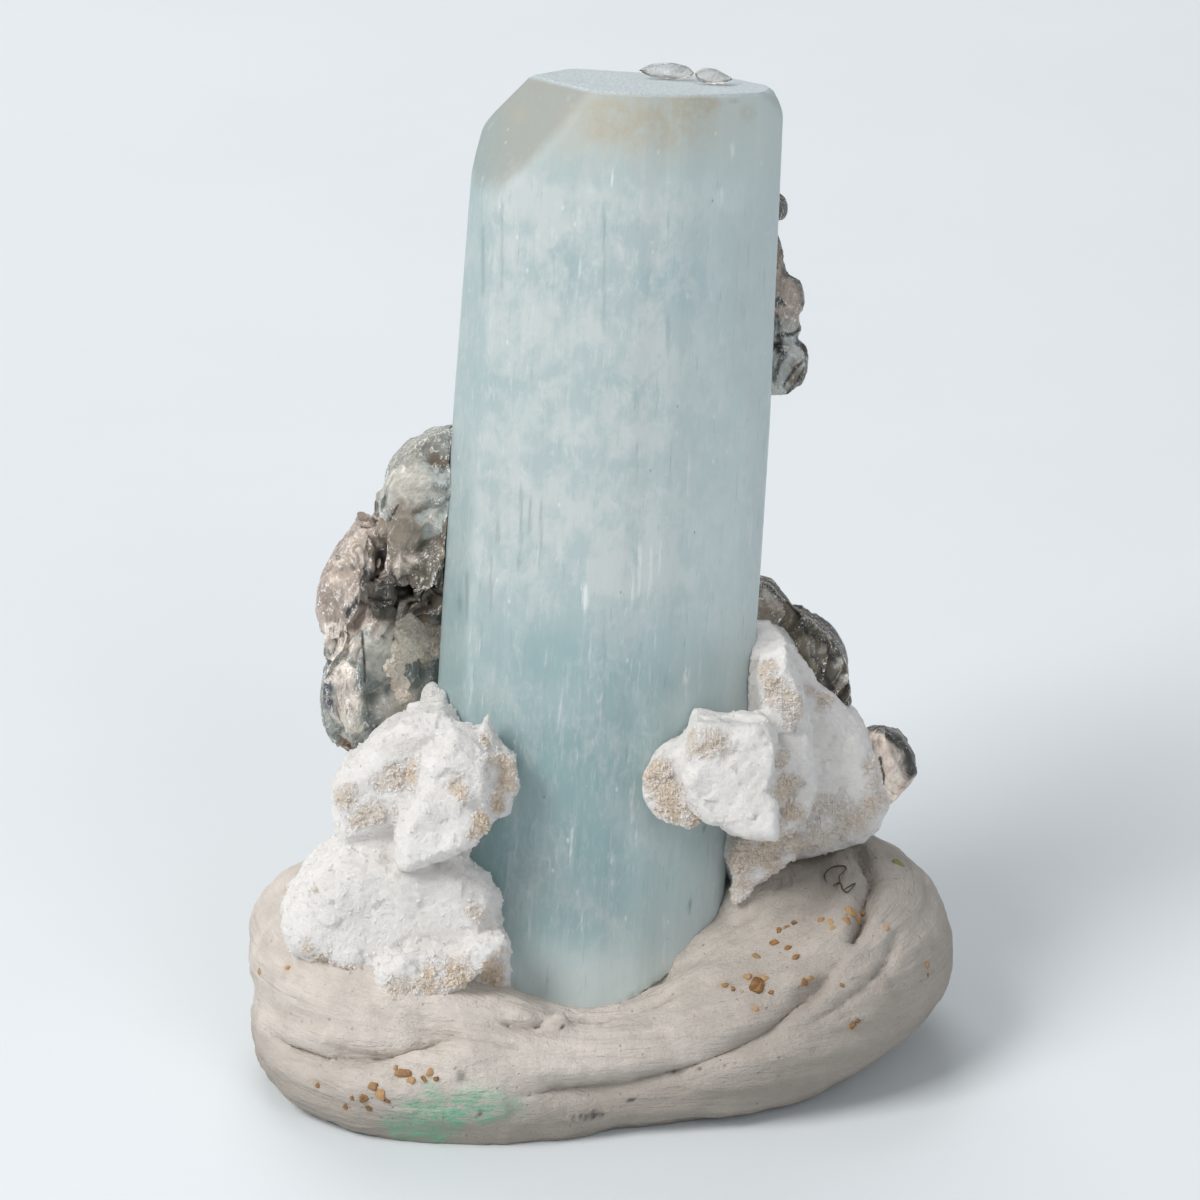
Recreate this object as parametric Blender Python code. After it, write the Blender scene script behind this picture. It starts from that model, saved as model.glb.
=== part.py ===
"""Aquamarine crystal specimen: a blue prism with white albite lumps and mica books, held up by a lump of putty.

Run with blender --background --python part.py, or from Blender's text editor. Units are metres, +Z is up, the
putty's flat underside lies on z = 0 and the specimen faces -Y. The crystal, albite and mica are modelled upright in
the specimen's own frame, whose +Z is the crystal's axis, and are then leaned back as one by the specimen empty.
"""

import math
import random

import bmesh
import bpy
from mathutils import Matrix, Vector, noise
from mathutils.bvhtree import BVHTree

MM = 0.001

# Driving dimensions
CRYSTAL_LENGTH = 71.4 * MM
CRYSTAL_WIDTH = 24.0 * MM
CRYSTAL_DEPTH = 14.0 * MM
CRYSTAL_TAPER = 0.955  # width at the top over width at the middle
LEAN_BACK = math.radians(15.0)
LEAN_RIGHT = math.radians(3.4)
SPECIMEN_FOOT = Vector((-2.2, -2.9, 2.4)) * MM  # where the crystal's axis ends, in the putty
GAP = 0.3 * MM  # between pieces that touch
LUMP_CLEARANCE = 1.4 * GAP  # round the lumps, whose skins are thinned out after the clearance is made

# Fineness of the solids
LUMP_VOXEL = 0.45 * MM
PUTTY_VOXEL = 0.7 * MM
LUMP_TRIANGLES = 1900
PUTTY_TRIANGLES = 2200
CLEARANCE_TRIANGLES = 900
SAME_POINT = 1e-6  # points nearer than this are one
SLIVER = 2e-6  # edges shorter than this are taken out
SHARP_ANGLE = math.radians(32.0)  # faces that meet at more than this keep a sharp edge

# Skin of the lumps and of the putty: height and wavelength of its unevenness, and its octaves
LUMP_SKIN = (0.4 * MM, 2.6 * MM, 3)
PUTTY_SKIN = (0.4 * MM, 9.0 * MM, 2)

FINISHES = {  # base colour, roughness
    "aquamarine": ((0.52, 0.66, 0.68, 1.0), 0.25),
    "albite": ((0.86, 0.86, 0.85, 1.0), 0.75),
    "mica": ((0.36, 0.33, 0.29, 1.0), 0.30),
    "putty": ((0.58, 0.53, 0.49, 1.0), 0.80),
}

# The crystal's cross-section as shares of half its width and half its depth, anticlockwise from the left ridge,
# seen from above. The axis stands a little to the left of the middle.
SECTION = [
    (-0.97, -0.03),
    (-0.78, -0.66),
    (-0.46, -0.87),
    (-0.08, -1.00),
    (0.12, -1.00),
    (0.40, -0.85),
    (0.66, -0.57),
    (0.87, -0.27),
    (1.03, 0.03),
    (0.98, 0.32),
    (0.70, 0.97),
    (-0.63, 1.00),
    (-0.93, 0.29),
]
STRIP_WIDTH = 1.1 * MM  # of the long striation strips that each prism face is made of
STRIP_STEP = 0.09 * MM

# Planes that cut the ends of the prism: a point on the plane in millimetres, and its outward normal.
END_CUTS = [
    ((0.0, 0.2, 71.4), (0.0, -0.04, 1.0)),  # top face
    ((-2.7, -6.4, 71.5), (-0.742, -0.477, 0.472)),  # broad corner facet, front left
    ((-7.2, 0.6, 71.5), (-0.66, 0.32, 0.68)),  # back left
    ((10.0, -1.0, 71.2), (0.72, -0.10, 0.66)),  # small right corner
    ((11.2, 0.0, 7.6), (0.60, -0.10, -0.80)),  # foot, right
    ((-11.0, 0.0, 8.5), (-0.62, 0.0, -0.78)),  # foot, left
    ((0.0, -2.5, 0.0), (0.0, 0.42, -0.91)),  # foot, back
]

# Lumps of albite: each block is an outline in the specimen's front plane (x, z), a front and a back (y), and how
# wide its bevelled border is, all in millimetres.
ALBITE_LEFT_BLOCKS = [
    # upper lump, its outer part
    ([(-11.0, 24.8), (-13.3, 24.2), (-15.8, 22.4), (-17.9, 20.0), (-18.9, 17.6), (-17.9, 14.2), (-13.6, 15.2),
      (-8.6, 15.8), (-8.2, 19.5), (-9.4, 23.0)], -9.6, -1.5, 1.4),
    # upper lump, the part that laps over the crystal's front
    ([(-8.6, 23.4), (-10.3, 24.0), (-12.6, 21.4), (-12.6, 17.2), (-9.6, 15.6), (-7.4, 16.6), (-6.6, 19.4),
      (-7.0, 22.2)], -11.4, -4.5, 1.3),
    # pointed wedge below it
    ([(-13.7, 16.6), (-13.6, 13.0), (-11.2, 13.7), (-8.3, 15.3), (-6.9, 17.2), (-8.4, 19.6), (-12.0, 19.2)],
     -12.3, -6.0, 0.9),
    # granular crust at its right edge, with a thin spike
    ([(-8.8, 23.4), (-7.9, 23.6), (-7.3, 22.8), (-6.4, 22.1), (-5.4, 21.7), (-5.2, 19.2), (-5.9, 17.4), (-6.9, 16.0),
      (-7.9, 15.5), (-9.0, 16.4)], -9.3, -6.0, 0.5),
    ([(-8.1, 22.8), (-7.9, 24.2), (-7.6, 25.1), (-7.3, 24.0), (-6.9, 22.2)], -8.9, -6.6, 0.2),
    # little blade standing behind, against the crystal's left ridge
    ([(-12.4, 20.0), (-12.5, 24.4), (-11.9, 25.4), (-10.8, 25.0), (-10.8, 20.0)], -3.2, 1.8, 0.5),
    # lower slab
    ([(-17.8, 14.1), (-19.7, 12.2), (-21.6, 9.8), (-21.9, 7.9), (-21.1, 6.2), (-17.1, 4.6), (-13.6, 3.4),
      (-9.2, 4.0), (-5.9, 6.0), (-6.0, 10.6), (-7.0, 12.4), (-8.8, 13.5), (-13.4, 13.6)], -10.6, 2.0, 1.6),
    # shelf along the lower edge of the slab
    ([(-14.8, 5.6), (-12.4, 7.0), (-9.6, 7.3), (-9.0, 6.8), (-7.4, 8.4), (-5.5, 8.9), (-5.2, 7.7), (-7.4, 5.6),
      (-10.4, 3.4), (-14.2, 3.0)], -12.4, -7.0, 0.7),
    # raised back of the slab, under the wedge
    ([(-17.4, 14.6), (-18.6, 12.4), (-13.6, 10.6), (-9.2, 12.2), (-8.2, 14.2), (-12.4, 15.6)], -9.0, 1.0, 1.0),
]
ALBITE_RIGHT_BLOCKS = [
    # square block in front of the crystal's right edge
    ([(7.8, 25.6), (10.2, 25.3), (12.7, 25.7), (13.8, 24.6), (13.5, 21.6), (14.4, 16.9), (11.4, 17.3), (8.8, 18.1),
      (7.5, 19.6), (7.0, 22.4)], -11.4, -4.0, 0.5),
    # neck between it and the ridge
    ([(11.0, 23.0), (14.6, 23.0), (14.6, 18.6), (11.0, 18.6)], -6.0, 2.0, 0.5),
    # granular crust on its left
    ([(7.6, 24.2), (6.3, 23.2), (5.0, 22.2), (4.2, 20.5), (4.7, 18.7), (5.8, 17.6), (7.9, 17.4), (9.4, 18.6),
      (9.4, 23.6)], -9.6, -5.0, 0.5),
    # ridge beside the crystal
    ([(12.9, 29.0), (14.6, 27.8), (16.2, 25.8), (17.0, 22.6), (17.0, 18.8), (16.2, 16.8), (14.4, 15.4),
      (12.9, 16.0)], -3.6, 5.0, 0.9),
    # broad mass behind it
    ([(11.0, 31.2), (13.4, 30.6), (15.4, 29.0), (17.0, 26.8), (19.0, 25.2), (20.8, 23.4), (21.7, 21.2), (23.0, 18.0),
      (22.4, 16.0), (20.8, 14.8), (16.7, 13.5), (14.0, 12.6), (12.0, 12.0), (8.0, 12.0), (8.0, 28.0)], -0.6, 9.6, 1.6),
    # wedge that runs down into the putty
    ([(12.0, 17.5), (16.6, 15.0), (14.9, 13.2), (12.6, 11.0), (11.6, 10.0), (11.4, 14.0)], -2.6, 5.0, 0.4),
    # mass behind the crystal's foot
    ([(-7.0, 5.8), (-9.4, 9.5), (-9.0, 15.5), (-5.6, 20.6), (-0.5, 23.0), (4.0, 27.4), (9.5, 29.6), (14.8, 26.0),
      (16.0, 18.0), (14.2, 11.0), (7.6, 6.4), (0.0, 4.8)], 4.6, 12.6, 1.9),
    ([(-6.2, 7.0), (-7.0, 12.6), (-2.2, 16.6), (4.6, 14.8), (5.6, 8.6), (0.0, 5.6)], 8.0, 14.4, 1.4),
]

# Clusters of mica: the outline that the cluster keeps to, its front, back and bevelled border, and its books. Each
# book has a centre, the outward normal of its sheets, its reach, its thickness and its number of steps. Millimetres.
MICA_LEFT = (
    [(-8.0, 45.6), (-11.8, 44.6), (-13.2, 44.1), (-14.9, 43.1), (-16.2, 41.6), (-16.9, 39.8), (-17.9, 37.8),
     (-19.6, 35.0), (-21.0, 32.2), (-21.1, 30.0), (-20.2, 27.2), (-20.4, 24.0), (-20.0, 21.4), (-18.9, 19.5),
     (-17.4, 19.0), (-14.0, 20.4), (-8.0, 20.0), (-4.0, 26.0), (-4.0, 38.0)],
    -3.4, 11.4, 2.4,
    [
        ((-12.6, 2.4, 42.2), (-0.30, -0.90, 0.35), 4.6, 5.0, 6),
        ((-14.0, 0.8, 38.6), (-0.10, -0.95, 0.25), 4.2, 4.4, 6),
        ((-14.2, 2.2, 34.6), (-0.45, -0.88, 0.05), 4.4, 5.4, 6),
        ((-18.0, 3.2, 32.2), (-0.86, -0.46, 0.20), 6.0, 5.4, 7),
        ((-13.0, 4.6, 30.8), (0.10, -0.96, -0.20), 5.4, 4.4, 5),
        ((-16.4, 3.2, 24.2), (0.64, -0.76, 0.08), 6.8, 7.6, 10),
        ((-13.6, 7.6, 29.0), (-0.40, 0.90, 0.15), 9.0, 5.2, 7),
        ((-11.0, 8.0, 38.4), (-0.50, 0.82, 0.25), 7.0, 4.6, 6),
    ],
)
MICA_UPPER_RIGHT = (
    [(4.0, 62.0), (8.0, 64.6), (11.8, 64.2), (12.5, 63.0), (12.6, 61.8), (12.0, 60.8), (12.9, 59.2), (13.1, 58.0),
     (14.4, 56.4), (14.2, 54.8), (14.0, 53.6), (13.4, 52.9), (15.0, 51.7), (15.2, 50.7), (14.6, 49.1), (13.8, 48.3),
     (12.2, 47.9), (8.0, 47.0), (4.0, 51.0)],
    1.4, 10.6, 1.2,
    [
        ((12.4, 4.6, 50.9), (0.55, -0.80, 0.15), 3.6, 3.4, 5),
        ((12.4, 4.8, 55.4), (0.72, -0.62, 0.30), 3.4, 3.2, 5),
        ((11.6, 5.2, 59.4), (0.78, -0.60, 0.10), 3.0, 2.6, 4),
        ((11.2, 5.6, 62.4), (0.85, -0.50, 0.05), 2.2, 2.0, 3),
        ((9.4, 7.6, 57.4), (0.35, 0.92, 0.10), 6.4, 3.4, 5),
        ((9.6, 7.4, 51.4), (0.30, 0.92, -0.10), 4.4, 3.4, 5),
        ((7.6, 7.8, 61.0), (0.20, 0.97, 0.15), 4.2, 2.8, 4),
    ],
)
MICA_LOWER_RIGHT = (
    [(6.0, 34.0), (12.6, 33.4), (14.4, 32.2), (14.2, 30.9), (15.6, 31.5), (18.3, 30.4), (20.0, 28.2), (20.5, 25.2),
     (20.9, 23.2), (19.0, 22.6), (12.0, 24.0), (6.0, 26.0)],
    3.4, 12.8, 1.3,
    [
        ((12.2, 6.4, 32.0), (0.30, -0.80, 0.50), 3.0, 3.0, 4),
        ((16.0, 8.6, 27.4), (0.42, -0.64, 0.64), 6.0, 6.4, 9),
        ((11.8, 9.8, 30.0), (0.10, 0.90, 0.40), 6.0, 4.2, 6),
    ],
)
MICA_TIP = (
    [(20.6, 22.6), (22.0, 23.1), (23.2, 22.9), (24.4, 22.0), (25.2, 20.3), (24.4, 18.8), (23.3, 17.4), (21.4, 17.2),
     (20.0, 19.0)],
    3.2, 9.2, 1.0,
    [((22.4, 6.2, 20.2), (0.72, -0.52, 0.45), 3.8, 5.0, 8)],
)
TOP_FLAKE_LARGE = (
    [(0.5, 71.4), (1.2, 72.2), (2.3, 72.8), (3.7, 72.8), (5.1, 72.1), (5.2, 71.2), (2.8, 70.6)],
    2.0, 5.0, 0.4,
    [((2.9, 3.6, 72.0), (0.05, -0.70, 0.70), 3.4, 1.8, 4)],
)
TOP_FLAKE_SMALL = (
    [(5.3, 71.5), (5.7, 72.4), (6.7, 72.6), (7.7, 72.0), (8.2, 71.2), (6.6, 70.6), (5.4, 70.8)],
    1.0, 3.8, 0.3,
    [((6.6, 2.5, 71.7), (0.10, -0.70, 0.70), 2.6, 1.7, 4)],
)
BOOK_CORNERS = 10

# The putty is a thick roll folded once round itself: centre line and radius of each fold, in millimetres.
LOWER_FOLD = [
    (-21.1, 3.6, 4.2, 4.6), (-21.5, -6.2, 3.9, 4.8), (-16.9, -12.6, 3.7, 5.1), (-8.2, -13.9, 3.2, 4.8),
    (2.0, -12.5, 3.4, 4.7), (10.8, -10.9, 4.7, 5.2), (17.4, -6.8, 6.6, 6.1), (20.2, 0.2, 7.4, 6.5),
    (17.6, 7.4, 7.2, 6.3), (10.0, 12.2, 6.0, 6.0), (0.0, 13.4, 5.4, 5.8), (-10.0, 12.0, 5.2, 5.6),
    (-17.0, 8.8, 4.8, 5.2),
]
UPPER_FOLD = [
    (-14.7, 8.6, 7.6, 4.8), (-19.5, 4.4, 8.0, 5.0), (-21.5, -2.0, 8.2, 5.3), (-17.6, -8.8, 6.8, 5.4),
    (-8.5, -11.8, 4.5, 5.2), (0.0, -11.7, 2.6, 5.0), (8.0, -9.9, 4.4, 5.4), (14.2, -4.8, 6.8, 5.6),
    (15.4, 2.4, 8.0, 5.2), (11.0, 7.6, 8.4, 4.8),
]
PUTTY_MIDDLE = ((0.0, 0.5, 3.0), (19.0, 13.5, 5.4))  # centre and reach of the putty inside the folds
PUTTY_SOLE = ((-0.5, 0.0, 0.6), (22.5, 14.8, 2.4))  # pressed flat under the folds

# Creases where the folds of putty meet: points along each, in millimetres, then its half width and depth.
CREASES = [
    ([(-9.0, -18.0, 1.6), (-2.0, -16.8, 2.4), (3.7, -15.6, 3.6), (8.9, -14.4, 6.2), (14.0, -12.4, 9.4),
      (18.0, -8.4, 12.4), (18.8, -4.0, 13.8), (17.4, 1.0, 14.6)], 1.5, 1.3),
    ([(-26.0, 2.0, 7.0), (-25.4, -7.0, 6.8), (-22.0, -13.0, 6.4), (-16.0, -16.4, 6.2), (-8.0, -16.6, 6.0)], 1.4, 1.1),
]


def finish(name):
    """The shared material of one kind of mineral, or of the putty."""
    found = bpy.data.materials.get(name)
    if found:
        return found
    material = bpy.data.materials.new(name)
    material.use_nodes = True
    shader = material.node_tree.nodes["Principled BSDF"]
    colour, roughness = FINISHES[name]
    shader.inputs["Base Color"].default_value = colour
    shader.inputs["Roughness"].default_value = roughness
    shader.inputs["Metallic"].default_value = 0.0
    return material


def add_object(name, bm, material=None, parent=None):
    """Turns a bmesh into an object in the scene."""
    bmesh.ops.recalc_face_normals(bm, faces=bm.faces)
    mesh = bpy.data.meshes.new(name)
    bm.to_mesh(mesh)
    bm.free()
    obj = bpy.data.objects.new(name, mesh)
    bpy.context.scene.collection.objects.link(obj)
    if material:
        mesh.materials.append(finish(material))
    obj.parent = parent
    return obj


def helper(obj):
    """Marks a cutter, which isn't part of the object."""
    obj.hide_render = True
    obj.display_type = "WIRE"
    return obj


def shade(obj):
    """Shades the round parts of a piece smooth, and keeps the edges between its flat faces."""
    obj.data.shade_smooth()
    obj.data.set_sharp_from_angle(angle=SHARP_ANGLE)


def loft(bm, rings):
    """Closes a stack of rings with the same number of points into one shell, and returns its vertices."""
    loops = [[bm.verts.new(point) for point in ring] for ring in rings]
    for lower, upper in zip(loops, loops[1:]):
        for i in range(len(lower)):
            j = (i + 1) % len(lower)
            bm.faces.new((lower[i], lower[j], upper[j], upper[i]))
    bm.faces.new(loops[0][::-1])
    bm.faces.new(loops[-1])
    return [vert for loop in loops for vert in loop]


def cut(bm, point, normal):
    """Takes away what lies beyond a plane and closes the cut."""
    everything = list(bm.verts) + list(bm.edges) + list(bm.faces)
    made = bmesh.ops.bisect_plane(
        bm, geom=everything, dist=1e-7, plane_co=point, plane_no=normal, clear_outer=True
    )
    edges = [item for item in made["geom_cut"] if isinstance(item, bmesh.types.BMEdge)]
    if edges:
        bmesh.ops.holes_fill(bm, edges=edges, sides=0)


def evaluated(obj):
    """A copy of the mesh that the object's modifiers make."""
    bpy.context.view_layer.update()
    graph = bpy.context.evaluated_depsgraph_get()
    return bpy.data.meshes.new_from_object(obj.evaluated_get(graph))


def apply_modifiers(obj):
    mesh = evaluated(obj)
    obj.modifiers.clear()
    obj.data = mesh


def voxel_remesh(obj, voxel):
    """Joins the overlapping shells of an object into one skin."""
    remesh = obj.modifiers.new("one_skin", "REMESH")
    remesh.mode = "VOXEL"
    remesh.voxel_size = voxel
    apply_modifiers(obj)


def roughen(obj, skin, seed):
    """Moves each point along its normal by fractal noise."""
    height, wavelength, octaves = skin
    shift = Vector((seed * 3.1, seed * 1.7, seed * 2.3))
    normals = [vert.normal.copy() for vert in obj.data.vertices]
    for vert, normal in zip(obj.data.vertices, normals):
        vert.co += normal * height * noise.fractal(vert.co / wavelength + shift, 1.0, 2.0, octaves)
    obj.data.update()


def grown_copy(obj, name, by, voxel):
    """A cutter: the object swollen by a clearance on every side."""
    swollen = bpy.data.objects.new(name, obj.data.copy())
    bpy.context.scene.collection.objects.link(swollen)
    swollen.parent = obj.parent
    for vert, normal in [(vert, vert.normal.copy()) for vert in swollen.data.vertices]:
        vert.co += normal * by
    voxel_remesh(swollen, voxel)
    decimate(swollen, CLEARANCE_TRIANGLES)
    apply_modifiers(swollen)
    return helper(swollen)


def decimate(obj, triangles):
    obj.data.calc_loop_triangles()
    thin = obj.modifiers.new("thin_out", "DECIMATE")
    thin.ratio = min(1.0, triangles / len(obj.data.loop_triangles))
    thin.use_collapse_triangulate = True


def keep_main_shell(obj):
    """Leaves only the largest closed shell: chips that a cut has freed, and pockets inside, are filled or dropped."""
    bm = bmesh.new()
    bm.from_mesh(obj.data)
    bmesh.ops.triangulate(bm, faces=bm.faces)
    bmesh.ops.dissolve_degenerate(bm, dist=SLIVER, edges=bm.edges)
    unseen = set(bm.verts)
    shells = []
    while unseen:
        shell, front = set(), [unseen.pop()]
        while front:
            vert = front.pop()
            shell.add(vert)
            for edge in vert.link_edges:
                other = edge.other_vert(vert)
                if other in unseen:
                    unseen.discard(other)
                    front.append(other)
        shells.append(shell)
    shells.sort(key=len, reverse=True)
    bmesh.ops.delete(bm, geom=[vert for shell in shells[1:] for vert in shell], context="VERTS")
    bm.to_mesh(obj.data)
    bm.free()


def subtract(obj, *cutters):
    """Cuts the object clear of its neighbours."""
    for cutter in cutters:
        boolean = obj.modifiers.new(f"clear_{cutter.name}", "BOOLEAN")
        boolean.operation = "DIFFERENCE"
        boolean.object = cutter
    apply_modifiers(obj)
    keep_main_shell(obj)


def crystal_section(grow):
    """The prism's outline with its striations: each face is split into strips that stand a little in or out."""
    dice = random.Random(11)
    corners = [Vector((x * (CRYSTAL_WIDTH / 2 + grow), y * (CRYSTAL_DEPTH / 2 + grow))) for x, y in SECTION]
    outline = []
    for start, end in zip(corners, corners[1:] + corners[:1]):
        outline.append(start)
        if grow:
            continue
        along = end - start
        outward = Vector((along.y, -along.x)).normalized()
        strips = int(along.length / STRIP_WIDTH)
        for i in range(1, strips):
            step = STRIP_STEP * dice.uniform(-1.0, 1.0)
            edge = start + along * (i / strips)
            outline += [edge - along * 0.012 + outward * step, edge + along * 0.012 - outward * step]
    return outline


def crystal_shell(name, grow=0.0):
    """The prism with its end facets. grow swells it on every side, for the cutter that makes clearances."""
    section = crystal_section(grow)
    ledge_top, ledge_depth = 17.0 * MM, 1.1 * MM  # low down, the right side stands back
    levels = [  # height, how far the right side stands back, and share of the full width
        (-grow, ledge_depth, 1.0),
        (ledge_top - 0.6 * MM, ledge_depth, 1.0),
        (ledge_top, 0.0, 1.0),
        (CRYSTAL_LENGTH * 0.65, 0.0, 1.0),
        (CRYSTAL_LENGTH * 1.02, 0.0, CRYSTAL_TAPER),
    ]
    rings = []
    for z, inset, scale in levels:
        rings.append([
            Vector(((p.x - inset * max(0.0, p.x / CRYSTAL_WIDTH * 2) ** 4) * scale, p.y, z)) for p in section
        ])
    bm = bmesh.new()
    loft(bm, rings)
    for point, normal in END_CUTS:
        normal = Vector(normal).normalized()
        cut(bm, Vector(point) * MM + normal * grow, normal)
    bmesh.ops.remove_doubles(bm, verts=bm.verts, dist=SAME_POINT)
    return add_object(name, bm, None if grow else "aquamarine", specimen)


def block(bm, outline, front, back, bevel):
    """One blocky crystal: its outline stands at full size between two bevelled borders."""
    centre = sum((Vector(point) for point in outline), Vector((0.0, 0.0))) / len(outline)
    reach = sum((Vector(point) - centre).length for point in outline) / len(outline)
    shrink = 1 - bevel / reach
    rings = []
    for y, scale in [(front, shrink), (front + bevel, 1.0), (back - bevel, 1.0), (back, shrink)]:
        ring = [centre + (Vector(point) - centre) * scale for point in outline]
        rings.append([Vector((x, y, z)) * MM for x, z in ring])
    loft(bm, rings)


def lump(name, blocks, seed):
    """Blocky crystals grown into one mass, with a coarse, sugary skin."""
    bm = bmesh.new()
    for one in blocks:
        block(bm, *one)
    obj = add_object(name, bm, "albite", specimen)
    voxel_remesh(obj, LUMP_VOXEL)
    roughen(obj, LUMP_SKIN, seed)
    return obj


def sheet_stack(centre, normal, reach, thickness, steps, dice):
    """The stepped plates of one mica book, as separate bmeshes."""
    stand = Vector(normal).normalized().to_track_quat("Z", "Y").to_matrix().to_4x4()
    place = Matrix.Translation(Vector(centre) * MM) @ stand
    rise = thickness / steps
    for step in range(steps):
        low = (step - steps / 2) * rise
        size = reach * dice.uniform(0.84, 1.04)
        turn = dice.uniform(-0.2, 0.2)
        slip = Vector((dice.uniform(-0.10, 0.10), dice.uniform(-0.10, 0.10), 0.0)) * reach
        angles = [math.tau * i / BOOK_CORNERS + turn for i in range(BOOK_CORNERS)]
        rings = [
            [place @ ((Vector((size * math.cos(a), size * math.sin(a), z)) + slip) * MM) for a in angles]
            for z in (low, low + rise * 1.18)
        ]
        bm = bmesh.new()
        loft(bm, rings)
        yield bm


def combine(obj, other, operation):
    """Joins, or trims, one solid with another one, which is then removed."""
    boolean = obj.modifiers.new("combine", "BOOLEAN")
    boolean.operation = operation
    boolean.object = other
    apply_modifiers(obj)
    bpy.data.objects.remove(other)


def mica_cluster(name, cluster, seed, *neighbours):
    """Mica books that have grown into one another, joined in one solid that keeps clear of its neighbours."""
    outline, front, back, bevel, books = cluster
    dice = random.Random(seed)
    plates = [
        add_object(f"{name}_plate", bm, "mica", specimen) for book in books for bm in sheet_stack(*book, dice)
    ]
    joined = plates[0]
    for plate in plates[1:]:
        combine(joined, plate, "UNION")
    bm = bmesh.new()
    block(bm, outline, front, back, bevel)
    combine(joined, add_object(f"{name}_bounds", bm, "mica", specimen), "INTERSECT")
    joined.name = name
    subtract(joined, *neighbours)
    return joined


def tube(bm, line, samples=40, sides=14):
    """A roll of putty along a smooth curve through the points of its centre line, with round ends."""
    count = len(line) - 1
    knots = [line[0]] + list(line) + [line[-1]]
    path = []
    for s in range(samples + 1):
        whole, t = divmod(s * count / samples, 1.0)
        if whole >= count:
            whole, t = count - 1, 1.0
        a, b, c, d = (Vector(knots[int(whole) + k]) for k in range(4))
        path.append(0.5 * ((2 * b) + (c - a) * t + (2 * a - 5 * b + 4 * c - d) * t**2 + (3 * b - a - 3 * c + d) * t**3))
    rings = []
    for s, knot in enumerate(path):
        before, after = path[max(0, s - 1)], path[min(samples, s + 1)]
        heading = Vector((after - before)[:3]).normalized()
        side = heading.cross(Vector((0, 0, 1))).normalized()
        up = side.cross(heading)
        radius = knot[3] * min(1.0, 0.35 + 0.3 * min(s, samples - s))
        rings.append([
            (Vector(knot[:3]) + side * radius * math.cos(a) + up * radius * math.sin(a)) * MM
            for a in (math.tau * k / sides for k in range(sides))
        ])
    loft(bm, rings)


def press_crease(obj, points, half_width, depth):
    """Presses a groove into the skin along a line that is drawn near it."""
    tree = BVHTree.FromObject(obj, bpy.context.evaluated_depsgraph_get())
    half_width, depth = half_width * MM, depth * MM
    line = []
    for start, end in zip(points, points[1:]):
        start, end = Vector(start) * MM, Vector(end) * MM
        steps = math.ceil((end - start).length / (half_width / 4))
        line += [tree.find_nearest(start.lerp(end, i / steps))[0] for i in range(steps)]
    moves = []
    for vert in obj.data.vertices:
        near, place = min(((vert.co - point).length, i) for i, point in enumerate(line))
        if near < half_width:
            ends = min(1.0, place / len(line) * 6, (len(line) - place) / len(line) * 6)  # it fades out at its ends
            moves.append((vert, vert.normal * depth * ends * (1 - (near / half_width) ** 1.5)))
    for vert, move in moves:
        vert.co -= move
    obj.data.update()


def putty_base(cutters):
    """The folded lump of putty, pressed flat underneath, with the hollow that the specimen has pushed into it."""
    bm = bmesh.new()
    tube(bm, LOWER_FOLD)
    tube(bm, UPPER_FOLD)
    for centre, reach in (PUTTY_MIDDLE, PUTTY_SOLE):
        place = Matrix.Translation(Vector(centre) * MM) @ Matrix.Diagonal((*(Vector(reach) * MM), 1.0))
        bmesh.ops.create_uvsphere(bm, u_segments=32, v_segments=16, radius=1.0, matrix=place)
    obj = add_object("putty_base", bm, "putty")
    voxel_remesh(obj, PUTTY_VOXEL)
    smooth = obj.modifiers.new("thumbed_smooth", "SMOOTH")
    smooth.factor, smooth.iterations = 0.5, 3
    apply_modifiers(obj)
    for crease in CREASES:
        press_crease(obj, *crease)
    roughen(obj, PUTTY_SKIN, 5)
    decimate(obj, PUTTY_TRIANGLES)
    apply_modifiers(obj)
    bm = bmesh.new()
    bm.from_mesh(obj.data)
    cut(bm, Vector((0, 0, 0)), Vector((0, 0, -1)))
    bm.to_mesh(obj.data)
    bm.free()
    subtract(obj, *cutters)
    return obj


for old in list(bpy.data.objects):
    bpy.data.objects.remove(old)

specimen = bpy.data.objects.new("specimen", None)
bpy.context.scene.collection.objects.link(specimen)
specimen.location = SPECIMEN_FOOT
specimen.rotation_mode = "YXZ"
specimen.rotation_euler = (-LEAN_BACK, LEAN_RIGHT, 0.0)

crystal = crystal_shell("aquamarine_crystal")
crystal_clearance = helper(crystal_shell("crystal_clearance", GAP))

albite_left = lump("albite_left", ALBITE_LEFT_BLOCKS, 1)
albite_left_clearance = grown_copy(albite_left, "albite_left_clearance", LUMP_CLEARANCE, LUMP_VOXEL)
albite_right = lump("albite_right", ALBITE_RIGHT_BLOCKS, 2)
albite_right_clearance = grown_copy(albite_right, "albite_right_clearance", LUMP_CLEARANCE, LUMP_VOXEL)
for albite in (albite_left, albite_right):
    decimate(albite, LUMP_TRIANGLES)
    subtract(albite, crystal_clearance)

mica_cluster("mica_left_cluster", MICA_LEFT, 21, crystal_clearance, albite_left_clearance, albite_right_clearance)
mica_cluster("mica_upper_right_cluster", MICA_UPPER_RIGHT, 22, crystal_clearance)
mica_cluster("mica_lower_right_cluster", MICA_LOWER_RIGHT, 23, crystal_clearance, albite_right_clearance)
mica_cluster("mica_right_tip", MICA_TIP, 24, albite_right_clearance)
mica_cluster("mica_top_flake_large", TOP_FLAKE_LARGE, 25, crystal_clearance)
mica_cluster("mica_top_flake_small", TOP_FLAKE_SMALL, 26, crystal_clearance)

putty_base([crystal_clearance, albite_left_clearance, albite_right_clearance])

for piece in bpy.context.scene.objects:
    if piece.type == "MESH" and not piece.hide_render:
        shade(piece)
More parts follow.
